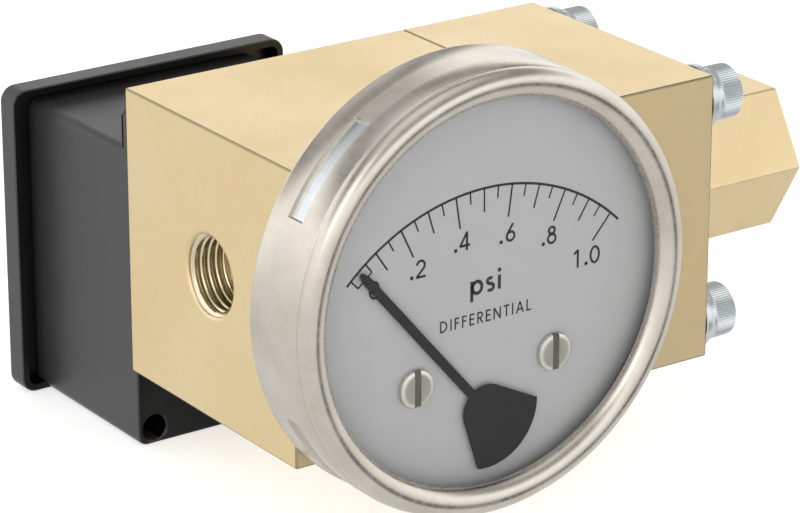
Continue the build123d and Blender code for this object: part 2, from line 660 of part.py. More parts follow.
def switch_carriage():
    """Block that slides in the slot, threaded on the adjusting screw, holding the reed switch."""
    half = SLOT_HALF_HEIGHT - 0.1
    carriage = slab(CARRIAGE_START, CARRIAGE_END, SLOT_FLOOR + 0.3, ADJUST_Y + 2.6, -half, half)
    carriage -= rod(ADJUST_RADIUS + 0.05, CARRIAGE_START, CARRIAGE_END, ADJUST_Y)
    carriage -= rod(REED_RADIUS + 0.02, CARRIAGE_START, CARRIAGE_END, REED_Y)
    return carriage


def reed_switch():
    """Glass capsule with a lead out of each end."""
    capsule = rod(REED_RADIUS, CARRIAGE_START + 0.5, CARRIAGE_END - 0.5, REED_Y)
    return fillet(capsule.edges(), 0.6) + rod(0.3, CARRIAGE_START - 1.5, CARRIAGE_END + 1.5, REED_Y)


def terminal_strip():
    """Insulating block with raised barriers between its terminals."""
    first, last = TERMINAL_XS[0] - 4.5, TERMINAL_XS[-1] + 4.5
    strip = slab(first, last, FRAME_FRONT, TERMINAL_BACK, TERMINAL_Z - 5, TERMINAL_Z + 5)
    pitch = TERMINAL_XS[1] - TERMINAL_XS[0]
    for i in range(len(TERMINAL_XS) + 1):
        x = first + i * pitch
        strip += slab(max(first, x - 0.6), min(last, x + 0.6), TERMINAL_BACK, TERMINAL_BACK + 3.5,
                      TERMINAL_Z - 5, TERMINAL_Z + 5)
    for x in TERMINAL_XS:
        strip -= post(1.2, TERMINAL_BACK - 6, TERMINAL_BACK, x, TERMINAL_Z)
    return strip


def terminal_plates():
    plates = []
    for x in TERMINAL_XS:
        plate = slab(x - 3.2, x + 3.2, TERMINAL_BACK, TERMINAL_BACK + 0.6, TERMINAL_Z - 4.2, TERMINAL_Z + 4.2)
        plates.append(plate - post(1.3, TERMINAL_BACK, TERMINAL_BACK + 0.6, x, TERMINAL_Z))
    return group(plates)


def terminal_screws():
    return group(rear_screw(2.4, 1.6, 1.15, TERMINAL_BACK + 0.6, TERMINAL_BACK - 5, x, TERMINAL_Z)
                 for x in TERMINAL_XS)


def switch_lead(x_from, x_to):
    """Insulated wire from the carriage's back to a terminal."""
    start = ADJUST_Y + 2.6
    end_z = TERMINAL_Z + 3
    route = FilletPolyline((x_from, start, -3.5), (x_from, start + 7, -3.5), (x_to, start + 7, end_z),
                           (x_to, TERMINAL_BACK + 0.6, end_z), radius=[3.0, 2.0])
    return sweep(Plane(origin=route @ 0, z_dir=route % 0) * Circle(0.6), path=route)


def switch_leads():
    return group(switch_lead(CARRIAGE_START + 5 + 2.5 * i, x) for i, x in enumerate(TERMINAL_XS))


NODES = {
    "high_pressure_body": high_pressure_body(),
    "low_pressure_cover": low_pressure_cover(),
    "hex_spring_housing": hex_spring_housing(),
    "housing_oring": housing_oring(),
    "spring_adjuster": spring_adjuster(),
    "range_spring": range_spring(),
    "diaphragm": diaphragm(),
    "cover_screws": group(socket_screw(y, z) for y, z in corner_places()),
    "cover_screw_washers": group(split_washer(y, z) for y, z in corner_places()),
    "high_side_plate": high_side_plate(),
    "low_side_plate": low_side_plate(),
    "magnet_carrier": magnet_carrier(),
    "pointer_magnet": carrier_magnet(magnet_places()[0]),
    "switch_magnet": carrier_magnet(magnet_places()[1]),
    "carrier_screw": carrier_screw(),
    "dial_case": dial_case(),
    "case_screws": case_screws(),
    "dial_plate": dial_plate(),
    "dial_screws": dial_screws(),
    "movement_bridge": movement_bridge(),
    "bridge_screws": bridge_screws(),
    "front_bearing": front_bearing(),
    "rear_bearing": rear_bearing(),
    "pointer_shaft": pointer_shaft(),
    "rotor_magnet": rotor_magnet(),
    "pointer": pointer(),
    "window_gasket": window_gasket(),
    "window": window(),
    "bezel": bezel(),
    "switch_box": switch_box(),
    "switch_cover": switch_cover(),
    "switch_cover_gasket": switch_cover_gasket(),
    "switch_cover_screws": switch_cover_screws(),
    "box_screws": box_screws(),
    "adjuster_bracket": adjuster_bracket(),
    "bracket_screws": bracket_screws(),
    "adjusting_screw": adjusting_screw(),
    "switch_carriage": switch_carriage(),
    "reed_switch": reed_switch(),
    "terminal_strip": terminal_strip(),
    "terminal_plates": terminal_plates(),
    "terminal_screws": terminal_screws(),
    "switch_leads": switch_leads(),
}

wall_start = Pos(-PORT_CHAMFER, 0, 0)
os.makedirs("parts", exist_ok=True)
for node, shape in NODES.items():
    export_step(wall_start * shape, f"parts/{node}.step")
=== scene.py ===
import json
from math import acos, asin, cos, degrees, hypot, pi, radians, sin, sqrt

import bmesh
import bpy
import numpy as np
from mathutils import Matrix, Vector


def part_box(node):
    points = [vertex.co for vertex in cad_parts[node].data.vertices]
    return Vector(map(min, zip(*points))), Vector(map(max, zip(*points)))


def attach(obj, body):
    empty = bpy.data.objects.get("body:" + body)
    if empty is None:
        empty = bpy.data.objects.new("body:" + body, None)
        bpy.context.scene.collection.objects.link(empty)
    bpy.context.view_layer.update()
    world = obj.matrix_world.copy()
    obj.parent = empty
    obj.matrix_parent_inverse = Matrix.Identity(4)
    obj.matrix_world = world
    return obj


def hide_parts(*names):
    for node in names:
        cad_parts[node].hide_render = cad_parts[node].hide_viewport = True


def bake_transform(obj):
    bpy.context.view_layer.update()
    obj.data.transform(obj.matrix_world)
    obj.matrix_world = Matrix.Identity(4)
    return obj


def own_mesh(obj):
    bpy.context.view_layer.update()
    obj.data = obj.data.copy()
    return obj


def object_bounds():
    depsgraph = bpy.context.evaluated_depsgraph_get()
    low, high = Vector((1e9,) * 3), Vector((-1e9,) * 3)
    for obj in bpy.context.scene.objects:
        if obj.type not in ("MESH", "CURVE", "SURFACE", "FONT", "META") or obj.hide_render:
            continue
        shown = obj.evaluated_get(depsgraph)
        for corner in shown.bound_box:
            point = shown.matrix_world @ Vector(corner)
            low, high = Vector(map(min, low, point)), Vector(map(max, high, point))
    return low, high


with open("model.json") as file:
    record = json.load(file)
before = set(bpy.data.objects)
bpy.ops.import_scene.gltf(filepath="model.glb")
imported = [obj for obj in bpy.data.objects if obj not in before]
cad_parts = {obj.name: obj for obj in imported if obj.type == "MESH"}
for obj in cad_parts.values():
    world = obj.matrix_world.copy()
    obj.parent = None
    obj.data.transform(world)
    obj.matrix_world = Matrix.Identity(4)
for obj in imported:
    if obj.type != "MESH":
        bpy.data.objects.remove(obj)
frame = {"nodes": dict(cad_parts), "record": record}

# Visual model of a brass differential pressure gauge with a switch enclosure at its back.
# Lengths in the named values are millimetres; meshes are in metres, in the CAD frame.
MM = 0.001
CAD_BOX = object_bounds()
BODY = "gauge_body"


def spot(node):
    """A CAD node's lowest and highest corners in millimetres."""
    low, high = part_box(node)
    return low / MM, high / MM


BLOCK_LOW, BLOCK_HIGH = spot("high_pressure_body")
COVER_LOW, COVER_HIGH = spot("low_pressure_cover")
HEX_LOW, HEX_HIGH = spot("hex_spring_housing")
BEZEL_LOW, BEZEL_HIGH = spot("bezel")
SHAFT_LOW, SHAFT_HIGH = spot("pointer_shaft")
BOX_LOW, BOX_HIGH = spot("switch_box")
DIAL_LOW, DIAL_HIGH = spot("dial_plate")
POINTER_LOW, POINTER_HIGH = spot("pointer")
HEADS_LOW, HEADS_HIGH = spot("cover_screws")
RING_LOW, RING_HIGH = spot("cover_screw_washers")
CARRIAGE_LOW, CARRIAGE_HIGH = spot("switch_carriage")

PORT_X = BLOCK_LOW.x
FACE_Y = BLOCK_LOW.y
GAUGE_X = (BEZEL_LOW.x + BEZEL_HIGH.x) / 2
GAUGE_Z = (BEZEL_LOW.z + BEZEL_HIGH.z) / 2
DIAL_FRONT = FACE_Y - DIAL_LOW.y
PIVOT_X = (SHAFT_LOW.x + SHAFT_HIGH.x) / 2
PIVOT_Z = (SHAFT_LOW.z + SHAFT_HIGH.z) / 2

# Points round a fine circle, and how far a cutting tool reaches past the face it opens
FINE = 96
OVERCUT = 1.0

# Pressure blocks, ports and hexagonal housing
EDGE_BREAK = 0.35
PORT_RADIUS = 6.95
PORT_DEPTH = 15.0
PORT_CHAMFER = 0.95
PASSAGE_RADIUS = 4.0
CARRIER_BORE = 12.05
CARRIER_BORE_START = 18.0
CHAMBER_RADIUS = 19.0
BODY_CHAMBER = 4.0
COVER_CHAMBER = 8.6
SPIGOT_RADIUS = 9.45
SPIGOT_LENGTH = 12.5
HOUSING_BORE = 8.0
THREAD_PITCH = 1.411
THREAD_HEIGHT = 0.62
CREST_FLAT = 0.24
CREST_SHOULDER = 0.42
THREAD_LENGTH = 12.6
THREAD_START = 0.12
THREAD_BURY = 0.12
THREAD_TAPER = 32
TRIM_DEPTH = 0.5
TRIM_SLOPE = 1.5
HEX_BREAK = 0.3
ROTOR_POCKET = 6.2
CARRIAGE_ROOM = 6.6
CARRIAGE_GAP = 0.1

# Range spring
SPRING_WIRE = 0.6
SPRING_TURNS = 6
SPRING_CLOSED_PITCH = 2.06

# Diaphragm, made in sectors
SHEET_THICKNESS = 1.2
SHEET_RADIUS = 22.4
SHEET_HOLE = 2.1
PLATE_RADIUS = 14.0
SHEET_SECTORS = 12

# Cover screws and washers
SCREW_OFFSET = 19.9
HEAD_RADIUS = 4.76
HEAD_HEIGHT = 6.35
SOCKET_FLATS = 4.76
SOCKET_DEPTH = 3.4
SHANK_RADIUS = 3.175
WASHER_RADIUS = 5.75
WASHER_SPLIT = 0.8
KNURL_TEETH = 72
KNURL_DEPTH = 0.15

# Gauge head, depths measured forward of the body's front face
CASE_RADIUS = 36.4
CASE_INNER = 34.9
CASE_BASE = 2.0
CASE_DEPTH = 11.6
GROOVE_RADIUS = 35.6
GROOVE_START = 4.9
GROOVE_END = 10.4
BEZEL_RADIUS = 37.7
BEZEL_BORE = 36.75
BEZEL_BACK = 1.5
RIM_LIP = 0.15
BAND_END = 13.7
BEZEL_FRONT = 16.7
LIP_RADIUS = 32.7
LIP_BACK = 14.1
LIP_FRONT = 14.9
SLOT_ANGLES = (39.6, 137.6, 219.6, 317.6)
SLOT_ARC = 28.4
SLOT_BACK = 5.8
SLOT_FRONT = 9.7
SLOT_PRESS = 0.7
BAYONET_TWIST = 31.0

# Pointer and dial screws
ZERO_ANGLE = 40.2
POINTER_LENGTH = 37.8
POINTER_HALF_WIDTH = 0.8
POINTER_TIP = 2.4
HUB_RADIUS = 4.55
TAIL_RADIUS = 10.0
TAIL_HALF_ANGLE = 50.0
DIAL_SCREW_OFFSET = 13.7
DIAL_SCREW_RADIUS = 3.25
DIAL_SCREW_HEIGHT = 0.95
DIAL_SCREW_SLOT = 1.25
DIAL_SCREW_DROP = 7.0
DIAL_SCREW_SHANK = 1.45
DIAL_SCREW_HOLE = 1.55
SLOT_FLOOR = 0.35
SHAFT_HOLE = 2.4
POST_RADIUS = 3.0

# Dial print, relative to the pivot
SCALE_RADIUS = 38.0
SCALE_END = 44.5
SCALE_LINE = 0.42
MID_ANGLE = -0.5
SCALE_SWEEP = 83.4
INK = 0.02
DIVISIONS = 20
TICKS = ((4, 5.5, 0.32), (2, 4.0, 0.30), (1, 2.1, 0.28))
ZERO_BOX_HALF = 2.7
ZERO_BOX_DEPTH = 2.0
ZERO_BOX_LINE = 0.3
NUMERAL_HEIGHT = 3.15
NUMERAL_LINE = 0.42
NUMERALS = (("2", -13.56, 25.5), ("4", -5.15, 28.28), ("6", 3.92, 27.85), ("8", 12.2, 25.68),
            ("0", 20.92, 20.42), ("0", -22.5, 23.85), ("1", 17.65, 20.42))
POINTS = ((-14.32, 25.85), (-5.86, 28.6), (3.05, 28.15), (11.46, 26.0), (20.2, 20.8))
POINT_RADIUS = 0.34
UNIT_HEIGHT = 3.72
UNIT_BASE = 20.3
UNIT_SIGNS = (("p", -2.95, 0.60), ("s", 0.1, 0.56), ("i", 2.52, 0.60))
UNIT_DOT = (2.78, 23.55, 0.36)
CAPTION = "DIFFERENTIAL"
CAPTION_SPAN = (-8.85, 9.15)
CAPTION_BASE = 15.2
CAPTION_HEIGHT = 2.0
CAPTION_LINE = 0.27

# Switch enclosure
BOX_WALL = 2.2
FRONT_WALL = 3.3
BOX_CORNER = 1.8
BOX_TOP = 13.6
TAB_CHAMFER = 2.7
LID_RIM = 1.3
LID_CORNER = 2.7
LID_FRONT = 57.1
LID_CLEARANCE = 0.05
LID_PLATE = 1.5
WELL_RADIUS = 3.4
WELL_BORE = 2.3
CONDUIT_RADIUS = 11.1
CONDUIT_Y = 44.0
CONDUIT_Z = -14.0
WELL_SIDE = 3.3
WELL_EDGE = 2.8
WELL_SHOULDER = 47.4
WELL_END = 52.0
WELL_HOLE = 1.6
BOSS_RADIUS = 3.2
BOSS_HOLE = 1.4


# Meshes

def outward(mesh):
    """The mesh with every face turned outward."""
    bm = bmesh.new()
    bm.from_mesh(mesh)
    bmesh.ops.recalc_face_normals(bm, faces=bm.faces)
    bm.to_mesh(mesh)
    bm.free()
    return mesh


def finish_mesh(mesh, sharp=32.0):
    """Outward normals, smooth faces and sharp edges by angle."""
    outward(mesh)
    mesh.polygons.foreach_set("use_smooth", [True] * len(mesh.polygons))
    mesh.set_sharp_from_angle(angle=radians(sharp))
    mesh.update()
    return mesh


def mesh_of(points, faces, name="part"):
    """Mesh from points in millimetres."""
    mesh = bpy.data.meshes.new(name)
    mesh.from_pydata([Vector(p) * MM for p in points], [], faces)
    mesh.validate()
    return outward(mesh)


def linked(data, name="tool"):
    """Object in the scene for a mesh, camera or lamp."""
    obj = bpy.data.objects.new(name, data)
    bpy.context.scene.collection.objects.link(obj)
    return obj


def evaluated(obj):
    """The object's mesh with its modifiers applied."""
    bpy.context.view_layer.update()
    graph = bpy.context.evaluated_depsgraph_get()
    return bpy.data.meshes.new_from_object(obj.evaluated_get(graph))


def carve(mesh, tools, operation="DIFFERENCE"):
    """Cuts, adds or intersects tool meshes one after another."""
    obj = linked(mesh)
    helpers = [linked(t) for t in tools]
    for helper in helpers:
        step = obj.modifiers.new("carve", "BOOLEAN")
        step.operation = operation
        step.solver = "EXACT"
        step.object = helper
    result = evaluated(obj)
    for used in helpers + [obj]:
        bpy.data.objects.remove(used)
    return result


def joined(meshes):
    """One mesh that holds several, keeping material indices."""
    bm = bmesh.new()
    for mesh in meshes:
        bm.from_mesh(mesh)
    result = bpy.data.meshes.new("joined")
    bm.to_mesh(result)
    bm.free()
    return result


def piece(name, mesh, slot, nodes=(), body=BODY, skins=None, sharp=32.0, level=False):
    """A finished piece in its slot's material or in skins; it replaces the node of its own name or nodes.
    """
    if name in frame["nodes"]:
        nodes = [name]
    finish_mesh(mesh, sharp)
    mesh.name = name
    mesh.materials.clear()
    for skin in skins or [slot]:
        mesh.materials.append(MATERIALS[skin])
    obj = linked(mesh, name)
    if level:
        flat = obj.modifiers.new("level", "WEIGHTED_NORMAL")
        flat.keep_sharp = True
        flat.weight = 100
    if body:
        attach(obj, body)
    if nodes:
        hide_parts(*nodes)
    return obj


def reskin(obj, chosen):
    """Gives the chosen faces the piece's second material."""
    for face in obj.data.polygons:
        if chosen(face):
            face.material_index = 1


def along_x(x, y, z):
    """Places (radius, angle, depth) about a line along X."""
    return lambda r, a, d: (x + d, y + r * cos(a), z + r * sin(a))


def along_y(x, z):
    """Places (radius, angle, depth) about a line along Y."""
    return lambda r, a, d: (x + r * cos(a), d, z + r * sin(a))


def along_gauge(x, z, base=FACE_Y):
    """Places (radius, angle, depth) about a line along the gauge axis, depths forward of base."""
    return lambda r, a, d: (x + r * cos(a), base - d, z + r * sin(a))


def around(count):
    """Even angles round a circle."""
    return [2 * pi * i / count for i in range(count)]


def skinned(points, n, closed=False):
    """Mesh over rows of n points; rows that don't close on themselves get two end faces."""
    rows = len(points) // n
    faces = []
    for i in range(rows if closed else rows - 1):
        j = (i + 1) % rows
        for k in range(n):
            m = (k + 1) % n
            faces.append((i * n + k, i * n + m, j * n + m, j * n + k))
    if not closed:
        faces.append(tuple(range(n)))
        faces.append(tuple(range((rows - 1) * n, rows * n)))
    return mesh_of(points, faces)


def turned(profile, place, angles=None, closed=False):
    """Solid of revolution; a radius may be a function of the angle."""
    angles = angles or around(FINE)
    points = [place(radius(a) if callable(radius) else radius, a, depth)
              for radius, depth in profile for a in angles]
    return skinned(points, len(angles), closed)


def cylinder(radius, d0, d1, place, count=FINE):
    return turned([(radius, d0), (radius, d1)], place, around(count))


def prism(outline, place, d0, d1):
    """Extrusion of a closed outline of (u, v) points; place maps (u, v, depth)."""
    return skinned([place(u, v, d) for d in (d0, d1) for u, v in outline], len(outline))


def plain_xz(u, v, d):
    """Places (u, v, depth) with the outline across X and Z."""
    return (u, d, v)


def block(low, high):
    """Box between two corners in millimetres."""
    outline = [(low[0], low[2]), (high[0], low[2]), (high[0], high[2]), (low[0], high[2])]
    return prism(outline, plain_xz, low[1], high[1])


def bevelled(mesh, offset, segments=3, select=None):
    """Rounds the mesh's sharp edges; select narrows them by a test on the edge."""
    bm = bmesh.new()
    bm.from_mesh(mesh)
    bmesh.ops.recalc_face_normals(bm, faces=bm.faces)
    limit = radians(35)
    edges = [e for e in bm.edges if len(e.link_faces) == 2 and e.calc_face_angle() > limit]
    if select:
        edges = [e for e in edges if select(e)]
    bmesh.ops.bevel(bm, geom=edges, offset=offset * MM, segments=segments, profile=0.5,
                    affect="EDGES", clamp_overlap=True)
    bm.to_mesh(mesh)
    bm.free()
    return mesh


def rounded_outline(u0, u1, v0, v1, radius, steps=10):
    """Rectangle with round corners."""
    points = []
    corners = ((u1, v1, 0), (u0, v1, 90), (u0, v0, 180), (u1, v0, 270))
    for u, v, start in corners:
        cu = u - radius if u == u1 else u + radius
        cv = v - radius if v == v1 else v + radius
        for i in range(steps + 1):
            a = radians(start + 90 * i / steps)
            points.append((cu + radius * cos(a), cv + radius * sin(a)))
    return points


def rounded_bar(x0, x1, z0, z1, radius, y0, y1, steps=10):
    """Bar along Y with round corners."""
    return prism(rounded_outline(x0, x1, z0, z1, radius, steps), plain_xz, y0, y1)


def hexagon(flats):
    """Hexagon in the YZ plane with a flat on top."""
    r = flats / sqrt(3)
    angles = [radians(60 * i) for i in range(6)]
    return [(r * cos(a), r * sin(a)) for a in angles]


def hex_radius(flats):
    """Radius of a hexagon's outline as a function of the angle."""
    sector = pi / 3

    def radius(a):
        return flats / 2 / cos((a - pi / 6) % sector - sector / 2)
    return radius


def bezier(p0, p1, p2, p3, steps):
    """Points of a cubic curve, without its first."""
    out = []
    for i in range(1, steps + 1):
        t = i / steps
        s = 1 - t
        w = (s ** 3, 3 * s * s * t, 3 * s * t * t, t ** 3)
        out.append(tuple(sum(c * p[k] for c, p in zip(w, (p0, p1, p2, p3))) for k in (0, 1)))
    return out


# Materials

class Graph:
    """Short names for adding nodes to a tree."""

    def __init__(self, tree):
        self.tree = tree

    def add(self, kind, **values):
        node = self.tree.nodes.new(kind)
        for key, value in values.items():
            setattr(node, key, value)
        return node

    def link(self, source, target):
        self.tree.links.new(source, target)

    def spread(self, value, low, high, new_low, new_high):
        """The value's range from low to high laid over a new range."""
        node = self.add("ShaderNodeMapRange")
        self.link(value, node.inputs["Value"])
        limits = {"From Min": low, "From Max": high, "To Min": new_low, "To Max": new_high}
        for key, number in limits.items():
            node.inputs[key].default_value = number
        return node.outputs["Result"]

    def math(self, kind, *values):
        node = self.add("ShaderNodeMath", operation=kind)
        for socket, value in zip(node.inputs, values):
            if isinstance(value, (int, float)):
                socket.default_value = value
            else:
                self.link(value, socket)
        return node.outputs["Value"]

    def mixture(self, a, b, share):
        """a in the given share and b in the rest, added."""
        return self.math("ADD", self.math("MULTIPLY", a, share), self.math("MULTIPLY", b, 1 - share))


class Nodes(Graph):
    """The nodes of one new material, placed by object coordinates."""

    def __init__(self, name):
        self.material = bpy.data.materials.new(name)
        self.material.use_nodes = True
        super().__init__(self.material.node_tree)
        self.shader = self.tree.nodes["Principled BSDF"]
        self.place = self.add("ShaderNodeTexCoord").outputs["Object"]

    def stretched(self, scale):
        node = self.add("ShaderNodeMapping")
        self.link(self.place, node.inputs["Vector"])
        node.inputs["Scale"].default_value = scale
        return node.outputs["Vector"]

    def wrapped(self, x, z, radius, scale):
        """Coordinates round a line along Y, seam below: arc length, depth and distance, each scaled."""
        split = self.add("ShaderNodeSeparateXYZ")
        self.link(self.place, split.inputs["Vector"])
        across = self.math("SUBTRACT", split.outputs["X"], x * MM)
        upward = self.math("SUBTRACT", split.outputs["Z"], z * MM)
        arc = self.math("MULTIPLY", self.math("ARCTAN2", across, upward), radius * MM * scale[0])
        squares = self.math("ADD", self.math("MULTIPLY", across, across),
                            self.math("MULTIPLY", upward, upward))
        result = self.add("ShaderNodeCombineXYZ")
        self.link(arc, result.inputs["X"])
        self.link(self.math("MULTIPLY", split.outputs["Y"], scale[1]), result.inputs["Y"])
        self.link(self.math("MULTIPLY", self.math("SQRT", squares), scale[2]), result.inputs["Z"])
        return result.outputs["Vector"]

    def noise(self, scale, detail=3.0, rough=0.5, where=None):
        node = self.add("ShaderNodeTexNoise")
        self.link(where or self.place, node.inputs["Vector"])
        node.inputs["Scale"].default_value = scale
        node.inputs["Detail"].default_value = detail
        node.inputs["Roughness"].default_value = rough
        return node.outputs["Fac"]

    def blend(self, factor, a, b):
        """Colour a turning into colour b as factor rises."""
        node = self.add("ShaderNodeMix", data_type="RGBA")
        self.link(factor, node.inputs["Factor"])
        for key, value in (("A", a), ("B", b)):
            socket = [s for s in node.inputs if s.name == key and s.type == "RGBA"][0]
            if isinstance(value, tuple):
                socket.default_value = (*value, 1)
            else:
                self.link(value, socket)
        return [s for s in node.outputs if s.type == "RGBA"][0]

    def bump(self, height, distance, strength=1.0, under=None):
        node = self.add("ShaderNodeBump")
        self.link(height, node.inputs["Height"])
        node.inputs["Distance"].default_value = distance * MM
        node.inputs["Strength"].default_value = strength
        if under:
            self.link(under, node.inputs["Normal"])
        return node.outputs["Normal"]

    def done(self, colour, roughness, normal=None, metallic=0.0, ior=1.5):
        inputs = self.shader.inputs
        self.link(colour, inputs["Base Color"])
        self.link(roughness, inputs["Roughness"])
        if normal:
            self.link(normal, inputs["Normal"])
        inputs["Metallic"].default_value = metallic
        inputs["IOR"].default_value = ior
        return self.material


def satin_metal(name, dark, light, rough, grain=2600.0, depth=0.006, cloud=70.0, metallic=1.0):
    """Machined or plated metal: cloudy tone, fine speckle and a faint grain."""
    n = Nodes(name)
    tone = n.noise(cloud, 4.0, 0.6)
    speck = n.noise(grain, 2.0, 0.6)
    mixed = n.mixture(tone, speck, 0.65)
    colour = n.blend(n.spread(mixed, 0.36, 0.64, 0.0, 1.0), dark, light)
    roughness = n.spread(mixed, 0.3, 0.7, rough + 0.05, rough - 0.05)
    return n.done(colour, roughness, n.bump(speck, depth), metallic)


def brass(name, dark, light, rough, stains):
    """Machined brass: cloudy tone, small darker stains and a faint brushed grain."""
    n = Nodes(name)
    cloud = n.noise(38.0, 5.0, 0.62)
    speck = n.noise(2300.0, 3.0, 0.7)
    fine = n.noise(6000.0, 2.0, 0.6)
    brushed = n.noise(1500.0, 2.0, 0.5, n.stretched((1.0, 0.12, 1.0)))
    base = n.blend(n.spread(n.mixture(cloud, speck, 0.6), 0.34, 0.66, 0.0, 1.0), dark, light)
    stain = n.spread(n.noise(150.0, 6.0, 0.7), 0.60, 0.74, 0.0, stains)
    colour = n.blend(stain, base, tuple(0.9 * c for c in dark))
    roughness = n.spread(n.mixture(cloud, speck, 0.5), 0.3, 0.7, rough + 0.06, rough - 0.06)
    return n.done(colour, roughness, n.bump(brushed, 0.0015, 0.5, n.bump(fine, 0.0022)), 1.0)


def scratched_metal(name, dark, light, rough, scratch_depth=0.004):
    """Rolled stainless with short fine scratches across and along the ring."""
    n = Nodes(name)
    cloud = n.noise(90.0, 5.0, 0.6)
    lines = n.noise(900.0, 3.0, 0.6, n.wrapped(GAUGE_X, GAUGE_Z, BEZEL_RADIUS, (1.0, 0.10, 0.10)))
    hoops = n.noise(900.0, 2.0, 0.6, n.wrapped(GAUGE_X, GAUGE_Z, BEZEL_RADIUS, (0.05, 1.0, 1.0)))
    speck = n.noise(4200.0, 2.0, 0.6)
    marks = n.mixture(lines, hoops, 0.6)
    tone = n.mixture(cloud, speck, 0.7)
    colour = n.blend(n.spread(tone, 0.36, 0.64, 0.0, 1.0), dark, light)
    roughness = n.spread(n.mixture(marks, tone, 0.5), 0.35, 0.65, rough - 0.07, rough + 0.09)
    normal = n.bump(marks, scratch_depth, 0.6, n.bump(speck, 0.0006, 0.5))
    return n.done(colour, roughness, normal, 1.0)


def moulded(name, dark, light, rough, grain=3400.0, depth=0.012, dust=0.5, ior=1.5):
    """Moulded plastic or rubber with a fine pebbled skin; dust is how clearly lighter specks show."""
    n = Nodes(name)
    skin = n.noise(grain, 2.0, 0.5)
    cloud = n.noise(60.0, 4.0, 0.6)
    specks = n.spread(n.noise(700.0, 6.0, 0.75), 0.66, 0.8, 0.0, dust)
    base = n.blend(n.spread(n.mixture(cloud, skin, 0.5), 0.35, 0.65, 0.0, 1.0), dark, light)
    colour = n.blend(specks, base, tuple(min(1.0, 0.03 + 1.7 * c) for c in light))
    roughness = n.spread(cloud, 0.3, 0.7, rough - 0.05, rough + 0.06)
    return n.done(colour, roughness, n.bump(skin, depth), ior=ior)


def dial_paint(name, dark, light):
    """Flat paint with a fine grain and a faint cloud."""
    n = Nodes(name)
    grain = n.noise(4200.0, 3.0, 0.6)
    cloud = n.noise(45.0, 3.0, 0.5)
    colour = n.blend(n.spread(n.mixture(grain, cloud, 0.7), 0.35, 0.65, 0.0, 1.0), dark, light)
    return n.done(colour, n.spread(cloud, 0.3, 0.7, 0.62, 0.72), n.bump(grain, 0.006))


def ink(name, dark, light, ior):
    """Matt printing ink."""
    n = Nodes(name)
    grain = n.noise(5000.0, 2.0, 0.6)
    roughness = n.spread(grain, 0.3, 0.7, 0.5, 0.62)
    return n.done(n.blend(grain, dark, light), roughness, n.bump(grain, 0.002), ior=ior)


def clear(name, tint, alpha, rough):
    """Clear plastic or glass: thin gloss over whatever lies behind it."""
    n = Nodes(name)
    haze = n.noise(300.0, 3.0, 0.5)
    colour = n.blend(haze, tint, tuple(0.96 * c for c in tint))
    n.shader.inputs["Alpha"].default_value = alpha
    return n.done(colour, n.spread(haze, 0.3, 0.7, rough, rough + 0.03))


# Each material's maker and the values it takes after the name
FINISHES = {
    "brass": (brass, (0.845, 0.665, 0.365), (0.895, 0.735, 0.455), 0.42, 0.30),
    "cut_brass": (brass, (0.72, 0.64, 0.45), (0.82, 0.75, 0.56), 0.17, 0.6),
    # Much darker copy of the brass for the broken edges: painted shade
    "edge_brass": (satin_metal, (0.36, 0.30, 0.17), (0.44, 0.37, 0.22), 0.30),
    # Slot floors: the ring's metal with deeper pressing scratches, in a lighter, cooler tone that is a
    # painted reflection
    "pressed_metal": (scratched_metal, (0.58, 0.62, 0.63), (0.78, 0.82, 0.83), 0.22, 0.030),
    "bezel_metal": (scratched_metal, (0.60, 0.55, 0.47), (0.74, 0.70, 0.63), 0.27),
    "zinc_steel": (satin_metal, (0.60, 0.65, 0.665), (0.80, 0.845, 0.855), 0.34),
    "nickel_screw": (satin_metal, (0.66, 0.63, 0.57), (0.80, 0.77, 0.71), 0.33, 2400.0, 0.003),
    "slot_shade": (satin_metal, (0.16, 0.15, 0.13), (0.24, 0.225, 0.20), 0.45, 2400.0, 0.003),
    "case_metal": (satin_metal, (0.30, 0.30, 0.29), (0.38, 0.38, 0.37), 0.5, 1800.0, 0.01, 60.0, 0.6),
    "dial_face": (dial_paint, (0.36, 0.36, 0.363), (0.405, 0.405, 0.405)),
    "pointer_black": (moulded, (0.009, 0.009, 0.009), (0.015, 0.015, 0.0145), 0.55, 4200.0, 0.005, 0.0, 1.3),
    "clear_window": (clear, (0.6, 0.62, 0.62), 0.012, 0.05),
    "black_plastic": (moulded, (0.0016, 0.0016, 0.0015), (0.003, 0.003, 0.0028), 0.28, 2600.0, 0.004, 0.0),
    # Much lighter copy of the black plastic for outer sides, top and bottom: real pebbled skin, its lightness
    # painted light
    "textured_plastic": (moulded, (0.032, 0.032, 0.032), (0.044, 0.044, 0.0435), 0.40, 2400.0, 0.012, 0.0),
    "black_rubber": (moulded, (0.015, 0.015, 0.015), (0.028, 0.028, 0.028), 0.62),
    "white_plastic": (moulded, (0.66, 0.64, 0.58), (0.76, 0.74, 0.68), 0.42),
    "magnet_alloy": (satin_metal, (0.14, 0.14, 0.15), (0.23, 0.23, 0.24), 0.5),
    "spring_steel": (satin_metal, (0.46, 0.46, 0.46), (0.62, 0.62, 0.62), 0.3),
    "aluminium": (satin_metal, (0.62, 0.63, 0.64), (0.78, 0.79, 0.80), 0.4),
    "bearing_bronze": (satin_metal, (0.48, 0.32, 0.16), (0.62, 0.44, 0.24), 0.42),
    "red_plastic": (moulded, (0.07, 0.014, 0.012), (0.11, 0.022, 0.018), 0.35),
    "wire_insulation": (moulded, (0.34, 0.03, 0.025), (0.46, 0.05, 0.04), 0.4, 5000.0, 0.004),
    "reed_glass": (clear, (0.50, 0.72, 0.62), 0.55, 0.06),
    "dial_ink": (ink, (0.012, 0.012, 0.013), (0.026, 0.026, 0.027), 1.3),
}
MATERIALS = {name: maker(name, *values) for name, (maker, *values) in FINISHES.items()}
# Brass blocks: plain brass, and a darker copy on the broken edges as painted shade
BRASS_SKINS = ["brass", "edge_brass"]
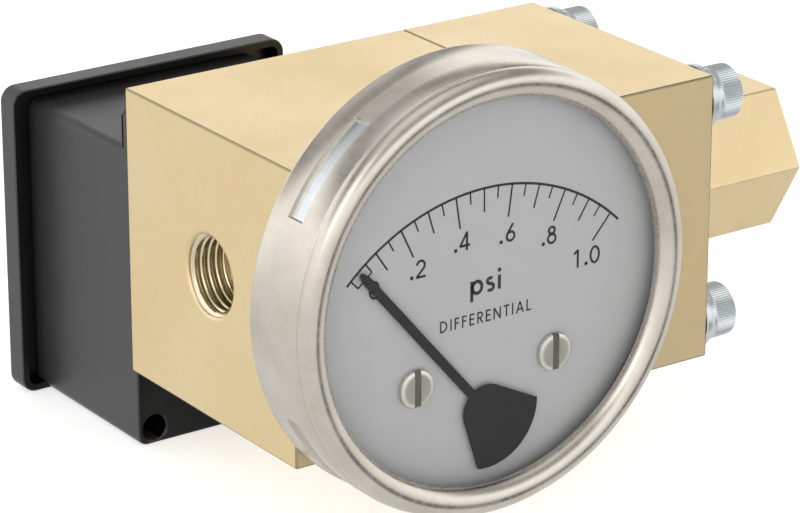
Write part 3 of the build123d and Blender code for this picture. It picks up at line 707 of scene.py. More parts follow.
# Two copies of one black plastic: near-black on front and back faces, a lighter textured one on the outer
# sides, top and bottom; the difference in lightness is painted light and shade, the pebbled skin is real
BLACK_SKINS = ["black_plastic", "textured_plastic"]


def dress_cad_nodes():
    """Every CAD node gets its slot's material; replaced nodes stay hidden."""
    for row in frame["record"]["subparts"]:
        mesh = frame["nodes"][row["node"]].data
        mesh.materials.clear()
        mesh.materials.append(MATERIALS[row["material_slot"]])


# Pressure body, cover and what they hold

def corner_places():
    """Centres of the four cover screws."""
    return [(y, z) for y in (-SCREW_OFFSET, SCREW_OFFSET) for z in (-SCREW_OFFSET, SCREW_OFFSET)]


def is_broken_edge(face):
    """True for the small slanted faces along a block's outer edges."""
    slanted = max(abs(c) for c in face.normal) < 0.97
    outer = hypot(face.center.y, face.center.z) > (CHAMBER_RADIUS + 1) * MM
    return slanted and outer and face.area < 40 * MM * MM


def brass_block(node, low, high, tools):
    """Machined block whose broken edges take a much darker copy of the brass as painted shade, cut by its
    tools.
    """
    mesh = carve(bevelled(block(low, high), EDGE_BREAK), tools)
    reskin(piece(node, mesh, "brass", skins=BRASS_SKINS, level=True), is_broken_edge)


def port_cutter(mouth_x, inward):
    """Port bore with a softened mouth chamfer, along the pressure axis."""
    mouth = PORT_RADIUS + PORT_CHAMFER
    profile = [(mouth + 0.5, -0.5), (mouth, 0.0), (mouth - 0.4, 0.05), (mouth - 0.7, 0.16),
               (PORT_RADIUS + 0.06, 0.4), (PORT_RADIUS, 0.7), (PORT_RADIUS, PORT_DEPTH - 1.0),
               (PORT_RADIUS - 1.0, PORT_DEPTH)]
    return turned([(r, inward * d) for r, d in profile], along_x(mouth_x, 0, 0))


def bore(radius, x0, x1):
    """Cylinder on the pressure axis, depths measured from the port's face."""
    return cylinder(radius, x0, x1, along_x(PORT_X, 0, 0))


def thread(mouth_x, inward):
    """Helical ridge inside a port with broad crests, trimmed by the mouth and tapering in with depth."""
    place = along_x(mouth_x, 0, 0)
    per_turn = 72
    steps = int(THREAD_LENGTH / THREAD_PITCH * per_turn)
    root = PORT_RADIUS + 0.05
    buried = root + THREAD_BURY
    half = THREAD_PITCH * 0.47
    points = []
    for i in range(steps + 1):
        turn = i / per_turn
        a = 2 * pi * turn
        fade = min(1.0, 1.6 * (steps - i) / per_turn + 0.02)
        depth = turn * THREAD_PITCH
        crest = root - (THREAD_HEIGHT + depth / THREAD_TAPER) * fade
        side = crest + 0.14 * fade
        section = ((-half, root), (-CREST_SHOULDER, side), (-CREST_FLAT, crest), (CREST_FLAT, crest),
                   (CREST_SHOULDER, side), (half, root), (half * 0.8, buried), (-half * 0.8, buried))
        for shift, radius in section:
            at = max(THREAD_START, depth + shift)
            points.append(place(max(radius, root + TRIM_SLOPE * (TRIM_DEPTH - at)), a, inward * at))
    return skinned(points, len(section))


def carriage_slot(y0, y1):
    """Room for the switch carriage and its travel between two depths."""
    return block((CARRIAGE_LOW.x - CARRIAGE_ROOM, y0, CARRIAGE_LOW.z - CARRIAGE_GAP),
                 (CARRIAGE_HIGH.x + CARRIAGE_ROOM, y1, CARRIAGE_HIGH.z + CARRIAGE_GAP))


def make_body():
    """High-pressure block with its port, carrier bore, chamber, carriage slot and rotor pocket."""
    length = BLOCK_HIGH.x - BLOCK_LOW.x
    tools = [port_cutter(PORT_X, 1),
             bore(PASSAGE_RADIUS, PORT_DEPTH - 2 * OVERCUT, CARRIER_BORE_START + OVERCUT),
             bore(CARRIER_BORE, CARRIER_BORE_START, length + OVERCUT),
             bore(CHAMBER_RADIUS, length - BODY_CHAMBER, length + OVERCUT),
             carriage_slot(CARRIAGE_LOW.y - 0.3, BLOCK_HIGH.y + OVERCUT),
             cylinder(ROTOR_POCKET, -10.0, OVERCUT, along_gauge(PIVOT_X, PIVOT_Z))]
    brass_block("high_pressure_body", BLOCK_LOW, BLOCK_HIGH, tools)
    piece("high_pressure_thread", thread(PORT_X, 1), "brass", skins=["cut_brass"])


def make_cover():
    """Low-pressure cover with its chamber and the hole for the housing's spigot."""
    length = COVER_HIGH.x - COVER_LOW.x
    start = COVER_LOW.x - PORT_X
    tools = [bore(CHAMBER_RADIUS, start - OVERCUT, start + COVER_CHAMBER),
             bore(SPIGOT_RADIUS + 0.05, start + 1, start + length + OVERCUT)]
    brass_block("low_pressure_cover", COVER_LOW, COVER_HIGH, tools)


def make_hex_housing():
    """Hexagonal housing with its spigot, spring bore and threaded port."""
    flats = HEX_HIGH.z - HEX_LOW.z
    start = COVER_HIGH.x
    end = HEX_HIGH.x
    axis = along_x(0, 0, 0)
    solid = bevelled(prism(hexagon(flats), lambda u, v, d: (d, u, v), start, end), HEX_BREAK)
    solid = carve(solid, [cylinder(SPIGOT_RADIUS, start - SPIGOT_LENGTH, start + 0.5, axis)], "UNION")
    spring_bore = cylinder(HOUSING_BORE, start - SPIGOT_LENGTH - OVERCUT, end - PORT_DEPTH + 0.5, axis)
    mesh = carve(solid, [port_cutter(end, -1), spring_bore])
    piece("hex_spring_housing", mesh, "brass", level=True)
    piece("low_pressure_thread", thread(end, -1), "brass", skins=["cut_brass"])


def make_range_spring():
    """Compression spring with closed ends."""
    low, high = spot("range_spring")
    place = along_x(0, 0, 0)
    coil = (high.z - low.z) / 2 - SPRING_WIRE
    length = high.x - low.x - 2 * SPRING_WIRE
    closed = SPRING_CLOSED_PITCH * SPRING_WIRE
    free = length - 2 * closed
    per_turn = 40
    turns = SPRING_TURNS + 2
    section = around(10)
    points = []
    for i in range(turns * per_turn + 1):
        turn = i / per_turn
        shift = closed * min(turn, 1.0) + free * min(max(turn - 1, 0), SPRING_TURNS) / SPRING_TURNS
        shift += closed * max(turn - turns + 1, 0)
        for b in section:
            depth = low.x + SPRING_WIRE * (1 + sin(b)) + shift
            points.append(place(coil + SPRING_WIRE * cos(b), 2 * pi * turn, depth))
    mesh = skinned(points, len(section))
    obj = piece("range_spring_coil", mesh, "spring_steel", ["range_spring"], sharp=50.0)
    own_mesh(obj)


def sheet_profile():
    """Closed section of the diaphragm as (radius, depth): flat centre, raised convolution and flat rim."""
    roll = (CHAMBER_RADIUS - PLATE_RADIUS) / 2
    middle = PLATE_RADIUS + roll
    half = SHEET_THICKNESS / 2

    def arch(reach, side):
        turns = [pi * i / 16 for i in range(17)]
        return [(middle + side * reach * cos(a), reach * sin(a)) for a in turns]

    over = [(r, max(d, half)) for r, d in arch(roll, -1)]
    under = [(r, d - half) for r, d in arch(roll - SHEET_THICKNESS, 1)]
    return ([(SHEET_HOLE, half)] + over + [(SHEET_RADIUS, half), (SHEET_RADIUS, -half)]
            + under + [(SHEET_HOLE, -half)])


def make_diaphragm():
    """Rubber diaphragm in sectors, its rim clamped in the body."""
    place = along_x(BLOCK_HIGH.x - SHEET_THICKNESS / 2, 0, 0)
    profile = sheet_profile()
    steps = 8
    sector = 2 * pi / SHEET_SECTORS
    for index in range(SHEET_SECTORS):
        angles = [sector * (index + i / steps) for i in range(steps + 1)]
        mesh = skinned([place(r, a, d) for a in angles for r, d in profile], len(profile))
        nodes = ["diaphragm"] if index == 0 else ()
        obj = piece(f"diaphragm_sector_{index + 1}", mesh, "black_rubber", nodes, body=None)
        a = sector * (index + 0.5)
        start, end = (Vector(place(r, a, 0)) * MM for r in (PLATE_RADIUS, CHAMBER_RADIUS))
        tuple(start)
        tuple(end)
        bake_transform(obj)


def cap_screw(y, z):
    """Socket head cap screw: plain band beside the washer, knurled side, hexagon socket and shank."""
    seat = HEADS_HIGH.x - HEAD_HEIGHT
    shank = seat - HEADS_LOW.x
    r = HEAD_RADIUS
    top = HEAD_HEIGHT
    socket = hex_radius(SOCKET_FLATS)

    def knurled(a):
        return r - KNURL_DEPTH * (0.5 - 0.5 * cos(KNURL_TEETH * a)) ** 0.7

    def half_knurled(a):
        return r - 0.05 - 0.5 * KNURL_DEPTH * (0.5 - 0.5 * cos(KNURL_TEETH * a))

    def socket_mouth(a):
        return socket(a) + 0.12

    profile = [(SHANK_RADIUS - 0.5, -shank), (SHANK_RADIUS, -shank + 0.5), (SHANK_RADIUS, 0.0),
               (r - 0.55, 0.0), (r - 0.38, 0.12), (r - 0.34, 0.85), (r - 0.18, 1.05), (r - 0.1, 1.4),
               (r - 0.12, 1.75), (half_knurled, 1.95), (knurled, 2.2), (knurled, top - 0.65),
               (half_knurled, top - 0.4), (r - 0.42, top - 0.14), (r - 0.8, top), (socket_mouth, top),
               (socket, top - 0.15), (socket, top - SOCKET_DEPTH), (0.6, top - SOCKET_DEPTH - 0.9)]
    return turned(profile, along_x(seat, y, z), around(KNURL_TEETH * 6))


def split_washer(y, z):
    """Spring washer with a narrow split."""
    place = along_x(RING_LOW.x, y, z)
    inner = SHANK_RADIUS + 0.15
    outer = WASHER_RADIUS
    side = 1 if y > 0 else -1
    start = radians(90 - 25 * side) + WASHER_SPLIT / outer / 2 + 0.05
    sweep = 2 * pi - WASHER_SPLIT / outer - 0.1
    thick = RING_HIGH.x - RING_LOW.x
    edge = 0.15
    section = [(inner, edge), (inner + edge, 0), (outer - edge, 0), (outer, edge), (outer, thick - edge),
               (outer - edge, thick), (inner + edge, thick), (inner, thick - edge)]
    steps = 90
    points = [place(r, start + sweep * i / steps, d) for i in range(steps + 1) for r, d in section]
    return skinned(points, len(section))


def make_cover_screws():
    screws = joined([cap_screw(y, z) for y, z in corner_places()])
    piece("cover_screws", screws, "zinc_steel", sharp=28.0)
    washers = joined([split_washer(y, z) for y, z in corner_places()])
    piece("cover_screw_washers", washers, "zinc_steel")


# Gauge head

def slot_mask(a, twist=0.0, arc=SLOT_ARC):
    """1 inside a bayonet slot's sector, else 0."""
    for centre in SLOT_ANGLES:
        gap = (degrees(a) - centre - twist + 180) % 360 - 180
        if abs(gap) <= arc / 2:
            return 1.0
    return 0.0


def slot_angles(twist=0.0, arc=SLOT_ARC, ramp=0.35):
    """Whole degrees, with a close pair of angles in place of those near a sector's end."""
    ends = []
    for centre in SLOT_ANGLES:
        for side in (-1, 1):
            end = centre + twist + side * arc / 2
            ends += [(end - side * 0.001) % 360, (end + side * ramp) % 360]
    kept = [b for b in range(360) if all(abs((b - e + 180) % 360 - 180) > 0.4 for e in ends)]
    return [radians(a) for a in sorted(kept + ends)]


def make_bezel():
    """Rolled ring with pressed bayonet slots, a crease and a round front roll."""
    slot_edge = 0.12
    rim = BEZEL_RADIUS + RIM_LIP

    def outer(a):
        return BEZEL_RADIUS - SLOT_PRESS * slot_mask(a)

    def inner(a):
        return BEZEL_BORE - SLOT_PRESS * slot_mask(a)

    def pressed(face):
        x, y, z = face.center / MM
        distance = hypot(x - GAUGE_X, z - GAUGE_Z)
        on_floor = abs(distance - BEZEL_RADIUS + SLOT_PRESS) < 0.06
        return on_floor and SLOT_BACK < FACE_Y - y < SLOT_FRONT

    shoulder = (BEZEL_RADIUS - 0.25, BAND_END + 0.35)
    crown = (BEZEL_RADIUS - 2.4, BEZEL_FRONT)
    roll = bezier(shoulder, (BEZEL_RADIUS + 0.05, BEZEL_FRONT - 1.3),
                  (BEZEL_RADIUS - 1.1, BEZEL_FRONT), crown, 12)
    slope = bezier(crown, (BEZEL_RADIUS - 3.7, BEZEL_FRONT), (LIP_RADIUS + 0.25, LIP_FRONT + 1.0),
                   (LIP_RADIUS, LIP_FRONT), 14)
    profile = [(LIP_RADIUS, LIP_FRONT - 0.12), (LIP_RADIUS, LIP_BACK), (BEZEL_BORE, LIP_BACK),
               (BEZEL_BORE, SLOT_FRONT), (inner, SLOT_FRONT - slot_edge), (inner, SLOT_BACK + slot_edge),
               (BEZEL_BORE, SLOT_BACK), (BEZEL_BORE, BEZEL_BACK), (rim - 0.08, BEZEL_BACK),
               (rim, BEZEL_BACK + 0.1), (rim, BEZEL_BACK + 0.42), (BEZEL_RADIUS, BEZEL_BACK + 0.65),
               (BEZEL_RADIUS, SLOT_BACK), (outer, SLOT_BACK + slot_edge), (outer, SLOT_FRONT - slot_edge),
               (BEZEL_RADIUS, SLOT_FRONT), (BEZEL_RADIUS, BAND_END), shoulder] + roll + slope
    mesh = turned(profile, along_gauge(GAUGE_X, GAUGE_Z), slot_angles(), closed=True)
    obj = piece("bezel", mesh, "bezel_metal", body="bezel_ring",
                skins=["bezel_metal", "pressed_metal"], sharp=40.0)
    # Slot floors take the lighter, cooler copy of the metal: real pressing scratches, painted reflection in
    # its tone
    reskin(obj, pressed)


def gauge_place(u, v, d):
    """Dial plane: u to the right and v up from the pivot, d forward of the body's face."""
    return (PIVOT_X + u, FACE_Y - d, PIVOT_Z + v)


def dial_screw_places():
    """Centres of the dial's two screws."""
    return [(GAUGE_X + side, PIVOT_Z + DIAL_SCREW_DROP) for side in (-DIAL_SCREW_OFFSET, DIAL_SCREW_OFFSET)]


def disc(low, high, edge, count):
    """Disc on the gauge axis between two corners, its edges chamfered."""
    front = FACE_Y - low.y
    back = FACE_Y - high.y
    radius = (high.x - low.x) / 2
    profile = [(radius - edge, back), (radius, back + edge), (radius, front - edge), (radius - edge, front)]
    return turned(profile, along_gauge(GAUGE_X, GAUGE_Z), around(count))


def make_dial():
    """Dial plate with its screw holes and shaft hole."""
    start = FACE_Y - DIAL_HIGH.y - OVERCUT
    end = DIAL_FRONT + OVERCUT
    tools = [cylinder(DIAL_SCREW_HOLE, start, end, along_gauge(x, z), 48) for x, z in dial_screw_places()]
    tools.append(cylinder(SHAFT_HOLE, start, end, along_gauge(PIVOT_X, PIVOT_Z), 48))
    mesh = carve(disc(DIAL_LOW, DIAL_HIGH, 0.1, 240), tools)
    piece("dial_plate", mesh, "dial_face", level=True)


def arc_points(u, v, ru, rv, start, end, steps=24):
    """Elliptical arc in the dial plane, angles in degrees from +u towards +v."""
    out = []
    for i in range(steps + 1):
        a = radians(start + (end - start) * i / steps)
        out.append((u + ru * cos(a), v + rv * sin(a)))
    return out


def ribbon(points, width):
    """Flat printed stroke of even width along a path."""
    pts = [Vector(p) for p in points]
    left, right = [], []
    last = len(pts) - 1
    for i, p in enumerate(pts):
        before = (p - pts[i - 1]).normalized() if i else (pts[1] - p).normalized()
        after = (pts[i + 1] - p).normalized() if i < last else before
        normal = Vector((-before.y, before.x)) + Vector((-after.y, after.x))
        normal.normalize()
        reach = width / 2 / max(0.45, normal.dot(Vector((-before.y, before.x))))
        left.append(p + normal * reach)
        right.append(p - normal * reach)
    n = len(pts)
    corners = [gauge_place(q.x, q.y, DIAL_FRONT + d) for d in (0.0, INK) for q in left + right]
    faces = []
    for i in range(last):
        for a, b in ((0, n), (2 * n, 3 * n), (0, 2 * n), (n, 3 * n)):
            faces.append((a + i, a + i + 1, b + i + 1, b + i))
    faces.append((0, n, 3 * n, 2 * n))
    faces.append((n - 1, 2 * n - 1, 4 * n - 1, 3 * n - 1))
    return mesh_of(corners, faces)


def dot(u, v, radius):
    """Printed round point."""
    return prism(arc_points(u, v, radius, radius, 0, 345, 23), gauge_place, DIAL_FRONT, DIAL_FRONT + INK)


def polar(angle, radius):
    """Point on the dial at an angle from upright, clockwise, in degrees."""
    a = radians(angle)
    return (radius * sin(a), radius * cos(a))


def scale_angle(value):
    """Angle of a pressure on the scale, in degrees from upright."""
    return MID_ANGLE + SCALE_SWEEP * (value - 0.5)


# Strokes of each sign on a box of height 1; each entry is (width, strokes)
STEM = [(0.07, 1.0), (0.07, 0.0)]
TOP = 0.93
FOOT = 0.07
GLYPHS = {
    "0": (0.66, [arc_points(0.33, 0.5, 0.27, 0.43, 90, 450, 36)]),
    "1": (0.36, [[(0.02, 0.78), (0.27, 0.95)], [(0.27, 1.0), (0.27, 0.0)]]),
    "2": (0.62, [arc_points(0.31, 0.68, 0.24, 0.25, 172, -38, 22) + [(0.06, 0.09)],
                 [(0.02, FOOT), (0.60, FOOT)]]),
    "4": (0.66, [[(0.47, 0.97), (0.05, 0.27)], [(0.02, 0.27), (0.66, 0.27)], [(0.47, 1.0), (0.47, 0.0)]]),
    "6": (0.62, [arc_points(0.31, 0.31, 0.24, 0.24, 0, 360, 32), [(0.46, 0.98), (0.12, 0.46)]]),
    "8": (0.60, [arc_points(0.30, 0.75, 0.19, 0.18, 0, 360, 28),
                 arc_points(0.30, 0.30, 0.245, 0.235, 0, 360, 32)]),
    "p": (0.66, [[(0.08, 0.64), (0.08, -0.30)], arc_points(0.36, 0.32, 0.25, 0.27, 0, 360, 32)]),
    "s": (0.46, [arc_points(0.24, 0.48, 0.16, 0.125, 50, 270, 16)
                 + arc_points(0.24, 0.185, 0.17, 0.15, 88, -140, 18)]),
    "i": (0.14, [[(0.07, 0.64), (0.07, 0.0)]]),
    "D": (0.74, [STEM, [(0.03, TOP)] + arc_points(0.22, 0.5, 0.43, 0.43, 90, -90, 26) + [(0.03, FOOT)]]),
    "I": (0.14, [STEM]),
    "F": (0.46, [STEM, [(0.03, TOP), (0.46, TOP)], [(0.03, 0.54), (0.43, 0.54)]]),
    "E": (0.50, [STEM, [(0.03, TOP), (0.50, TOP)], [(0.03, 0.52), (0.47, 0.52)],
                 [(0.03, FOOT), (0.50, FOOT)]]),
    "R": (0.56, [STEM, [(0.03, TOP)] + arc_points(0.27, 0.70, 0.23, 0.23, 90, -90, 18) + [(0.03, 0.47)],
                 [(0.24, 0.47), (0.54, 0.0)]]),
    "N": (0.74, [STEM, [(0.07, 0.98), (0.67, 0.02)], [(0.67, 1.0), (0.67, 0.0)]]),
    "T": (0.56, [[(0.0, TOP), (0.56, TOP)], [(0.28, 0.95), (0.28, 0.0)]]),
    "A": (0.76, [[(0.04, 0.0), (0.38, 0.98)], [(0.72, 0.0), (0.38, 0.98)], [(0.15, 0.32), (0.61, 0.32)]]),
    "L": (0.46, [STEM, [(0.03, FOOT), (0.46, FOOT)]]),
}


def sign(letter, u, v, height, weight):
    """One sign's strokes, its box starting at (u, v)."""
    strokes = GLYPHS[letter][1]
    return [ribbon([(u + x * height, v + y * height) for x, y in path], weight) for path in strokes]


def word(text, u0, u1, v, height, weight):
    """Letters spread evenly from u0 to u1 on the baseline v."""
    widths = [GLYPHS[c][0] * height for c in text]
    gap = (u1 - u0 - sum(widths)) / (len(text) - 1)
    parts = []
    u = u0
    for letter, width in zip(text, widths):
        parts += sign(letter, u, v, height, weight)
        u += width + gap
    return parts


def scale_marks():
    """Scale arc, its ticks from 0.1 up and the box round zero."""
    arc = [polar(-SCALE_END + 2 * SCALE_END * i / 90, SCALE_RADIUS) for i in range(91)]
    parts = [ribbon(arc, SCALE_LINE)]
    for i in range(2, DIVISIONS + 1):
        length, weight = next(tick[1:] for tick in TICKS if i % tick[0] == 0)
        angle = scale_angle(i / DIVISIONS)
        parts.append(ribbon([polar(angle, SCALE_RADIUS), polar(angle, SCALE_RADIUS - length)], weight))
    inner = SCALE_RADIUS - ZERO_BOX_DEPTH
    for side in (-ZERO_BOX_HALF, ZERO_BOX_HALF):
        angle = -ZERO_ANGLE + side
        parts.append(ribbon([polar(angle, SCALE_RADIUS), polar(angle, inner)], ZERO_BOX_LINE))
    floor = [polar(-ZERO_ANGLE + ZERO_BOX_HALF * (i - 4) / 4, inner) for i in range(9)]
    parts.append(ribbon(floor, ZERO_BOX_LINE))
    return parts


def make_dial_print():
    """Scale, numbers, unit and caption as one thin layer of ink."""
    parts = scale_marks()
    for letter, u, v in NUMERALS:
        parts += sign(letter, u, v, NUMERAL_HEIGHT, NUMERAL_LINE)
    parts += [dot(u, v, POINT_RADIUS) for u, v in POINTS]
    for letter, u, weight in UNIT_SIGNS:
        parts += sign(letter, u, UNIT_BASE, UNIT_HEIGHT, weight)
    parts.append(dot(*UNIT_DOT))
    parts += word(CAPTION, *CAPTION_SPAN, CAPTION_BASE, CAPTION_HEIGHT, CAPTION_LINE)
    piece("dial_print", joined(parts), "pointer_black", skins=["dial_ink"])


def pointer_outline():
    """Blade with an ogive tip, round hub and fan-shaped counterweight, pointing upright."""
    w = POINTER_HALF_WIDTH
    base = POINTER_LENGTH - POINTER_TIP
    half = radians(TAIL_HALF_ANGLE)
    touch = half + acos(HUB_RADIUS / TAIL_RADIUS)
    start = asin(w / HUB_RADIUS)
    rim = [(TAIL_RADIUS * sin(t), -TAIL_RADIUS * cos(t)) for t in np.linspace(half, 0, 16)][::-1]
    hub = [(HUB_RADIUS * sin(t), HUB_RADIUS * cos(t))
           for t in np.linspace(start, pi - touch, 18)]
    tip = [(w * cos(t) ** 0.85, base + POINTER_TIP * sin(t))
           for t in np.linspace(0, pi / 2, 9)]
    side = hub[::-1] + [(w, sqrt(HUB_RADIUS ** 2 - w * w))] + tip
    right = rim + [p for i, p in enumerate(side) if i == 0 or p != side[i - 1]]
    return right + [(-u, v) for u, v in reversed(right) if abs(u) > 1e-6]


def make_pointer():
    front = FACE_Y - POINTER_LOW.y
    back = FACE_Y - POINTER_HIGH.y
    turn = Matrix.Rotation(radians(ZERO_ANGLE), 2)
    outline = [tuple(turn @ Vector(p)) for p in pointer_outline()]
    mesh = bevelled(prism(outline, gauge_place, back, front), 0.06, 2)
    piece("pointer", mesh, "pointer_black", body="pointer_assembly", level=True)


def make_dial_screws():
    """Two round-headed slotted screws, the floor of each slot in shade."""
    seat = FACE_Y - DIAL_FRONT
    r = DIAL_SCREW_RADIUS
    h = DIAL_SCREW_HEIGHT
    floor = seat - h * SLOT_FLOOR
    profile = [(DIAL_SCREW_SHANK, 5.0 - DIAL_FRONT), (DIAL_SCREW_SHANK, 0.0), (r - 0.1, 0.0), (r, 0.1),
               (r, h - 0.42), (r - 0.12, h - 0.2), (r - 0.4, h - 0.06), (r - 0.9, h - 0.01), (0.2, h)]
    heads = []
    for x, z in dial_screw_places():
        head = turned(profile, along_gauge(x, z, seat), around(120))
        half = DIAL_SCREW_SLOT / 2
        slot = block((x - half, seat - h - OVERCUT, z - r - OVERCUT), (x + half, floor, z + r + OVERCUT))
        heads.append(carve(head, [slot]))

    def on_floor(face):
        return abs(face.center.y / MM - floor) < 0.03 and abs(face.normal.y) > 0.9

    obj = piece("dial_screws", joined(heads), "nickel_screw", skins=["nickel_screw", "slot_shade"])
    reskin(obj, on_floor)


def make_window():
    mesh = disc(*spot("window"), 0.08, 180)
    obj = piece("window", mesh, "clear_window", level=True)
    obj.visible_shadow = False


def make_case():
    """Drawn pan with a bayonet groove, a notched flange and two posts for the dial's screws."""
    arc = SLOT_ARC + 2

    def flange(a):
        return CASE_RADIUS - (CASE_RADIUS - GROOVE_RADIUS) * slot_mask(a, BAYONET_TWIST, arc)

    profile = [(0.5, 0.0), (CASE_RADIUS - 0.8, 0.0), (CASE_RADIUS - 0.23, 0.23), (CASE_RADIUS, 0.8),
               (CASE_RADIUS, GROOVE_START), (GROOVE_RADIUS, GROOVE_START + 0.05), (GROOVE_RADIUS, GROOVE_END),
               (flange, GROOVE_END + 0.05), (flange, CASE_DEPTH), (CASE_INNER, CASE_DEPTH),
               (CASE_INNER, CASE_BASE), (0.5, CASE_BASE)]
    mesh = turned(profile, along_gauge(GAUGE_X, GAUGE_Z), slot_angles(BAYONET_TWIST, arc))
    pocket = cylinder(ROTOR_POCKET, -OVERCUT, CASE_BASE + OVERCUT, along_gauge(PIVOT_X, PIVOT_Z))
    posts = [cylinder(POST_RADIUS, CASE_BASE - 0.1, FACE_Y - DIAL_HIGH.y, along_gauge(x, z), 48)
             for x, z in dial_screw_places()]
    piece("dial_case", joined([carve(mesh, [pocket])] + posts), "case_metal")


# Switch enclosure pieces

def well_places():
    """Centres of the enclosure's four corner screws."""
    return [(x, z) for x in (BOX_LOW.x + WELL_SIDE, BOX_HIGH.x - WELL_SIDE)
            for z in (BOX_LOW.z + WELL_EDGE, BOX_TOP - WELL_EDGE)]


def texture_and_paint_light_outside(obj, low, high):
    """Gives the outer sides, top and bottom of a moulding the textured skin: a real pebbled texture in a much
    lighter copy of the black plastic, so these faces read lit against the near-black front faces; that
    difference is painted light and shade.
    """

    def outside(face):
        middle = face.center / MM
        for i in (0, 2):
            depth = min(abs(middle[i] - low[i]), abs(middle[i] - high[i]))
            if depth < 0.7 and abs(face.normal[i]) > 0.4:
                return True
        return False

    reskin(obj, outside)


def make_switch_box():
    """Box with round corners, a tab on its front wall, four screw wells, conduit hole and carriage slot."""
    low, high = BOX_LOW, BOX_HIGH
    inner_y = low.y + FRONT_WALL
    shoulder = high.z - TAB_CHAMFER
    outer = bevelled(rounded_bar(low.x, high.x, low.z, BOX_TOP, BOX_CORNER, low.y, high.y), 0.35)
    tab = [(low.x, BOX_TOP - 4), (high.x, BOX_TOP - 4), (high.x, shoulder), (high.x - TAB_CHAMFER, high.z),
           (low.x + TAB_CHAMFER, high.z), (low.x, shoulder)]
    solid = carve(outer, [bevelled(prism(tab, plain_xz, low.y, inner_y), 0.25, 2)], "UNION")
    solid = carve(solid, [block((low.x + BOX_WALL, inner_y, low.z + BOX_WALL),
                                (high.x - BOX_WALL, high.y + OVERCUT, BOX_TOP - BOX_WALL))])
    rooms = block((low.x + 1, low.y + 1, low.z + 1), (high.x - 1, high.y - 1, BOX_TOP - 1))
    wells = [carve(cylinder(WELL_RADIUS, low.y + 2, WELL_END, along_y(x, z), 48), [rooms], "INTERSECT")
             for x, z in well_places()]
    solid = carve(solid, wells, "UNION")
    tools = []
    mouth = WELL_BORE + 0.3
    for x, z in well_places():
        tools.append(turned([(mouth, low.y - OVERCUT), (mouth, low.y), (WELL_BORE, low.y + 0.3),
                             (WELL_BORE, WELL_SHOULDER)], along_y(x, z), around(48)))
        tools.append(cylinder(WELL_HOLE, WELL_SHOULDER - 0.4, WELL_END + OVERCUT, along_y(x, z), 32))
    tools.append(cylinder(CONDUIT_RADIUS, high.x - BOX_WALL - OVERCUT, high.x + OVERCUT,
                          along_x(0, CONDUIT_Y, CONDUIT_Z), 120))
    tools.append(carriage_slot(low.y - OVERCUT, inner_y + OVERCUT))
    groove_y = inner_y - 0.55
    for x in (low.x, high.x):
        tools.append(block((x - 0.6, groove_y - 0.2, BOX_TOP + 0.3), (x + 0.6, groove_y + 0.2, shoulder)))
    mesh = carve(solid, tools)
    obj = piece("switch_box", mesh, "black_plastic", skins=BLACK_SKINS, level=True)
    texture_and_paint_light_outside(obj, low, Vector((high.x, high.y, BOX_TOP)))


def make_switch_cover():
    """Tray-shaped lid whose rim stands clear of the box on three sides, with four screw bosses."""
    low, high = spot("switch_cover")
    plate = high.y - LID_PLATE
    rim = LID_RIM
    gap = LID_CLEARANCE
    shell = rounded_bar(low.x, high.x, low.z, high.z, LID_CORNER, LID_FRONT, high.y, 14)
    hollow = rounded_bar(low.x + rim, high.x - rim, low.z + rim, high.z - rim, LID_CORNER - rim,
                         LID_FRONT - OVERCUT, plate, 12)
    passage = rounded_bar(BOX_LOW.x - gap, BOX_HIGH.x + gap, BOX_LOW.z - gap, BOX_TOP + gap, BOX_CORNER + gap,
                          LID_FRONT - OVERCUT, plate)
    mesh = carve(bevelled(shell, 0.3, 4), [hollow, passage])
    margin = BOX_WALL + 0.1
    rooms = block((BOX_LOW.x + margin, low.y - OVERCUT, BOX_LOW.z + margin),
                  (BOX_HIGH.x - margin, high.y, BOX_TOP - margin))
    bosses = []
    for x, z in well_places():
        boss = carve(cylinder(BOSS_RADIUS, low.y, plate + 0.3, along_y(x, z), 48), [rooms], "INTERSECT")
        bosses.append(carve(boss, [cylinder(BOSS_HOLE, low.y - OVERCUT, plate, along_y(x, z), 32)]))
    obj = piece("switch_cover", joined([mesh] + bosses), "black_plastic", skins=BLACK_SKINS, level=True)
    texture_and_paint_light_outside(obj, low, high)


# Studio

CAMERA_FROM_PORT = (-312.53, -503.13, 229.57)
CAMERA_RIGHT = (0.820356, -0.571854, 0.0)
CAMERA_UP = (0.204235, 0.293014, 0.934040)
CAMERA_BACK = (-0.534139, -0.766242, 0.357168)
LENS = 174.47
SENSOR = 36.0

# Brightness of the surround by the sine of the elevation, as shares of the gain
WALL_LEVELS = ((-1.0, 0.60), (-0.45, 0.62), (-0.1, 0.72), (0.15, 0.98),
               (0.40, 1.1), (0.56, 0.55), (0.66, 0.22), (0.82, 0.30), (1.0, 0.75))
WALL_GAIN = 1.62
DIM_PATCH = (0.53, -0.77, -0.36)
PATCH_EDGE = (0.965, 0.992)
PATCH_LEVEL = 0.08
BACKDROP = 1.05
FLOOR_SIZE = 3000.0
FLOOR_GLOW = 0.55
LAMP_PLACE = (-0.9, -0.6, 0.9)
LAMP_TARGET = (0.04, 0.0, 0.0)
LAMP_SIZE = 0.9
LAMP_POWER = 2.5


def make_camera():
    data = bpy.data.cameras.new("camera")
    data.lens = LENS
    data.sensor_width = SENSOR
    data.clip_start = 0.01
    data.clip_end = 50.0
    camera = linked(data, "camera")
    axes = Matrix((CAMERA_RIGHT, CAMERA_UP, CAMERA_BACK)).transposed().to_4x4()
    place = Vector((PORT_X + CAMERA_FROM_PORT[0], CAMERA_FROM_PORT[1], CAMERA_FROM_PORT[2])) * MM
    camera.matrix_world = Matrix.Translation(place) @ axes
    bpy.context.scene.camera = camera


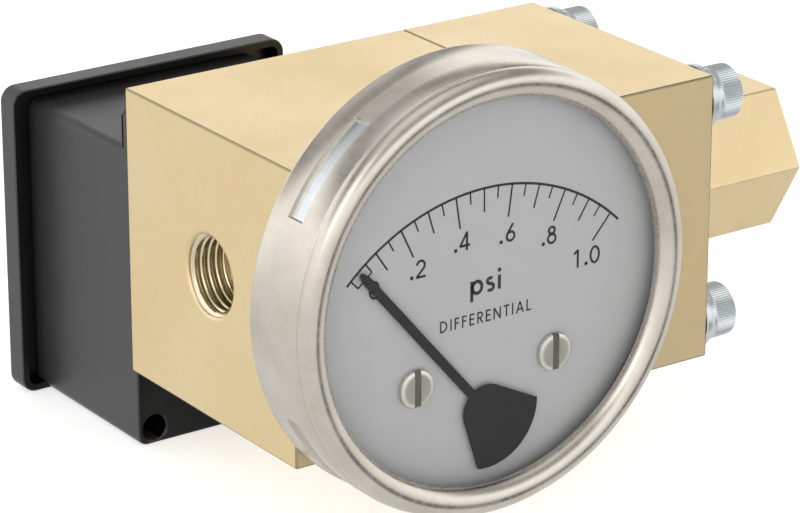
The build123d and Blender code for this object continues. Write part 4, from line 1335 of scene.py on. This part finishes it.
def make_world():
    """Soft studio surround: bright walls, a dim ceiling and a dim patch low in front; white to the camera."""
    world = bpy.data.worlds.new("studio")
    bpy.context.scene.world = world
    world.use_nodes = True
    world.node_tree.nodes.clear()
    g = Graph(world.node_tree)
    where = g.add("ShaderNodeTexCoord").outputs["Generated"]
    height = g.add("ShaderNodeSeparateXYZ")
    g.link(where, height.inputs["Vector"])
    levels = g.add("ShaderNodeValToRGB")
    g.link(g.spread(height.outputs["Z"], -1.0, 1.0, 0.0, 1.0), levels.inputs["Fac"])
    stops = levels.color_ramp.elements
    for stop, (rise, level) in zip(stops, (WALL_LEVELS[0], WALL_LEVELS[-1])):
        stop.position = (rise + 1) / 2
        stop.color = (level, level, level, 1)
    for rise, level in WALL_LEVELS[1:-1]:
        stop = stops.new((rise + 1) / 2)
        stop.color = (level, level, level, 1)
    lean = g.add("ShaderNodeVectorMath", operation="DOT_PRODUCT")
    g.link(where, lean.inputs[0])
    lean.inputs[1].default_value = Vector(DIM_PATCH).normalized()
    patch = g.spread(lean.outputs["Value"], *PATCH_EDGE, 1.0, PATCH_LEVEL)
    shaded = g.math("MULTIPLY", levels.outputs["Color"], patch)
    surround = g.add("ShaderNodeBackground")
    g.link(g.math("MULTIPLY", shaded, WALL_GAIN), surround.inputs["Strength"])
    white = g.add("ShaderNodeBackground")
    white.inputs["Strength"].default_value = BACKDROP
    choice = g.add("ShaderNodeMixShader")
    g.link(g.add("ShaderNodeLightPath").outputs["Is Camera Ray"], choice.inputs["Fac"])
    g.link(surround.outputs["Background"], choice.inputs[1])
    g.link(white.outputs["Background"], choice.inputs[2])
    g.link(choice.outputs["Shader"], g.add("ShaderNodeOutputWorld").inputs["Surface"])


def make_floor():
    """Plain pale floor just under the enclosure, bright enough to read as white."""
    size = FLOOR_SIZE
    height = CAD_BOX[0][2] / MM - 0.1
    corners = [(-size, -size, height), (size, -size, height), (size, size, height), (-size, size, height)]
    mesh = mesh_of(corners, [(0, 1, 2, 3)])
    n = Nodes("floor")
    grain = n.noise(40.0, 3.0, 0.5)
    colour = n.blend(grain, (0.86, 0.86, 0.86), (0.88, 0.88, 0.88))
    n.shader.inputs["Emission Color"].default_value = (1, 1, 1, 1)
    n.shader.inputs["Emission Strength"].default_value = FLOOR_GLOW
    mesh.materials.append(n.done(colour, n.spread(grain, 0.3, 0.7, 0.8, 0.9)))
    floor = linked(mesh, "floor")
    floor.visible_glossy = False


def make_lamp():
    """One broad soft lamp, high on the left in front."""
    data = bpy.data.lights.new("key", "AREA")
    data.shape = "DISK"
    data.size = LAMP_SIZE
    data.energy = LAMP_POWER
    lamp = linked(data, "key")
    lamp.location = LAMP_PLACE
    lamp.rotation_euler = (Vector(LAMP_TARGET) - Vector(LAMP_PLACE)).to_track_quat("-Z", "Y").to_euler()


# Build

dress_cad_nodes()
make_body()
make_cover()
make_hex_housing()
make_range_spring()
make_diaphragm()
make_cover_screws()
make_case()
make_dial()
make_dial_print()
make_dial_screws()
make_pointer()
make_window()
make_bezel()
make_switch_box()
make_switch_cover()
make_camera()
make_world()
make_floor()
make_lamp()
bpy.context.scene.view_settings.view_transform = "Standard"
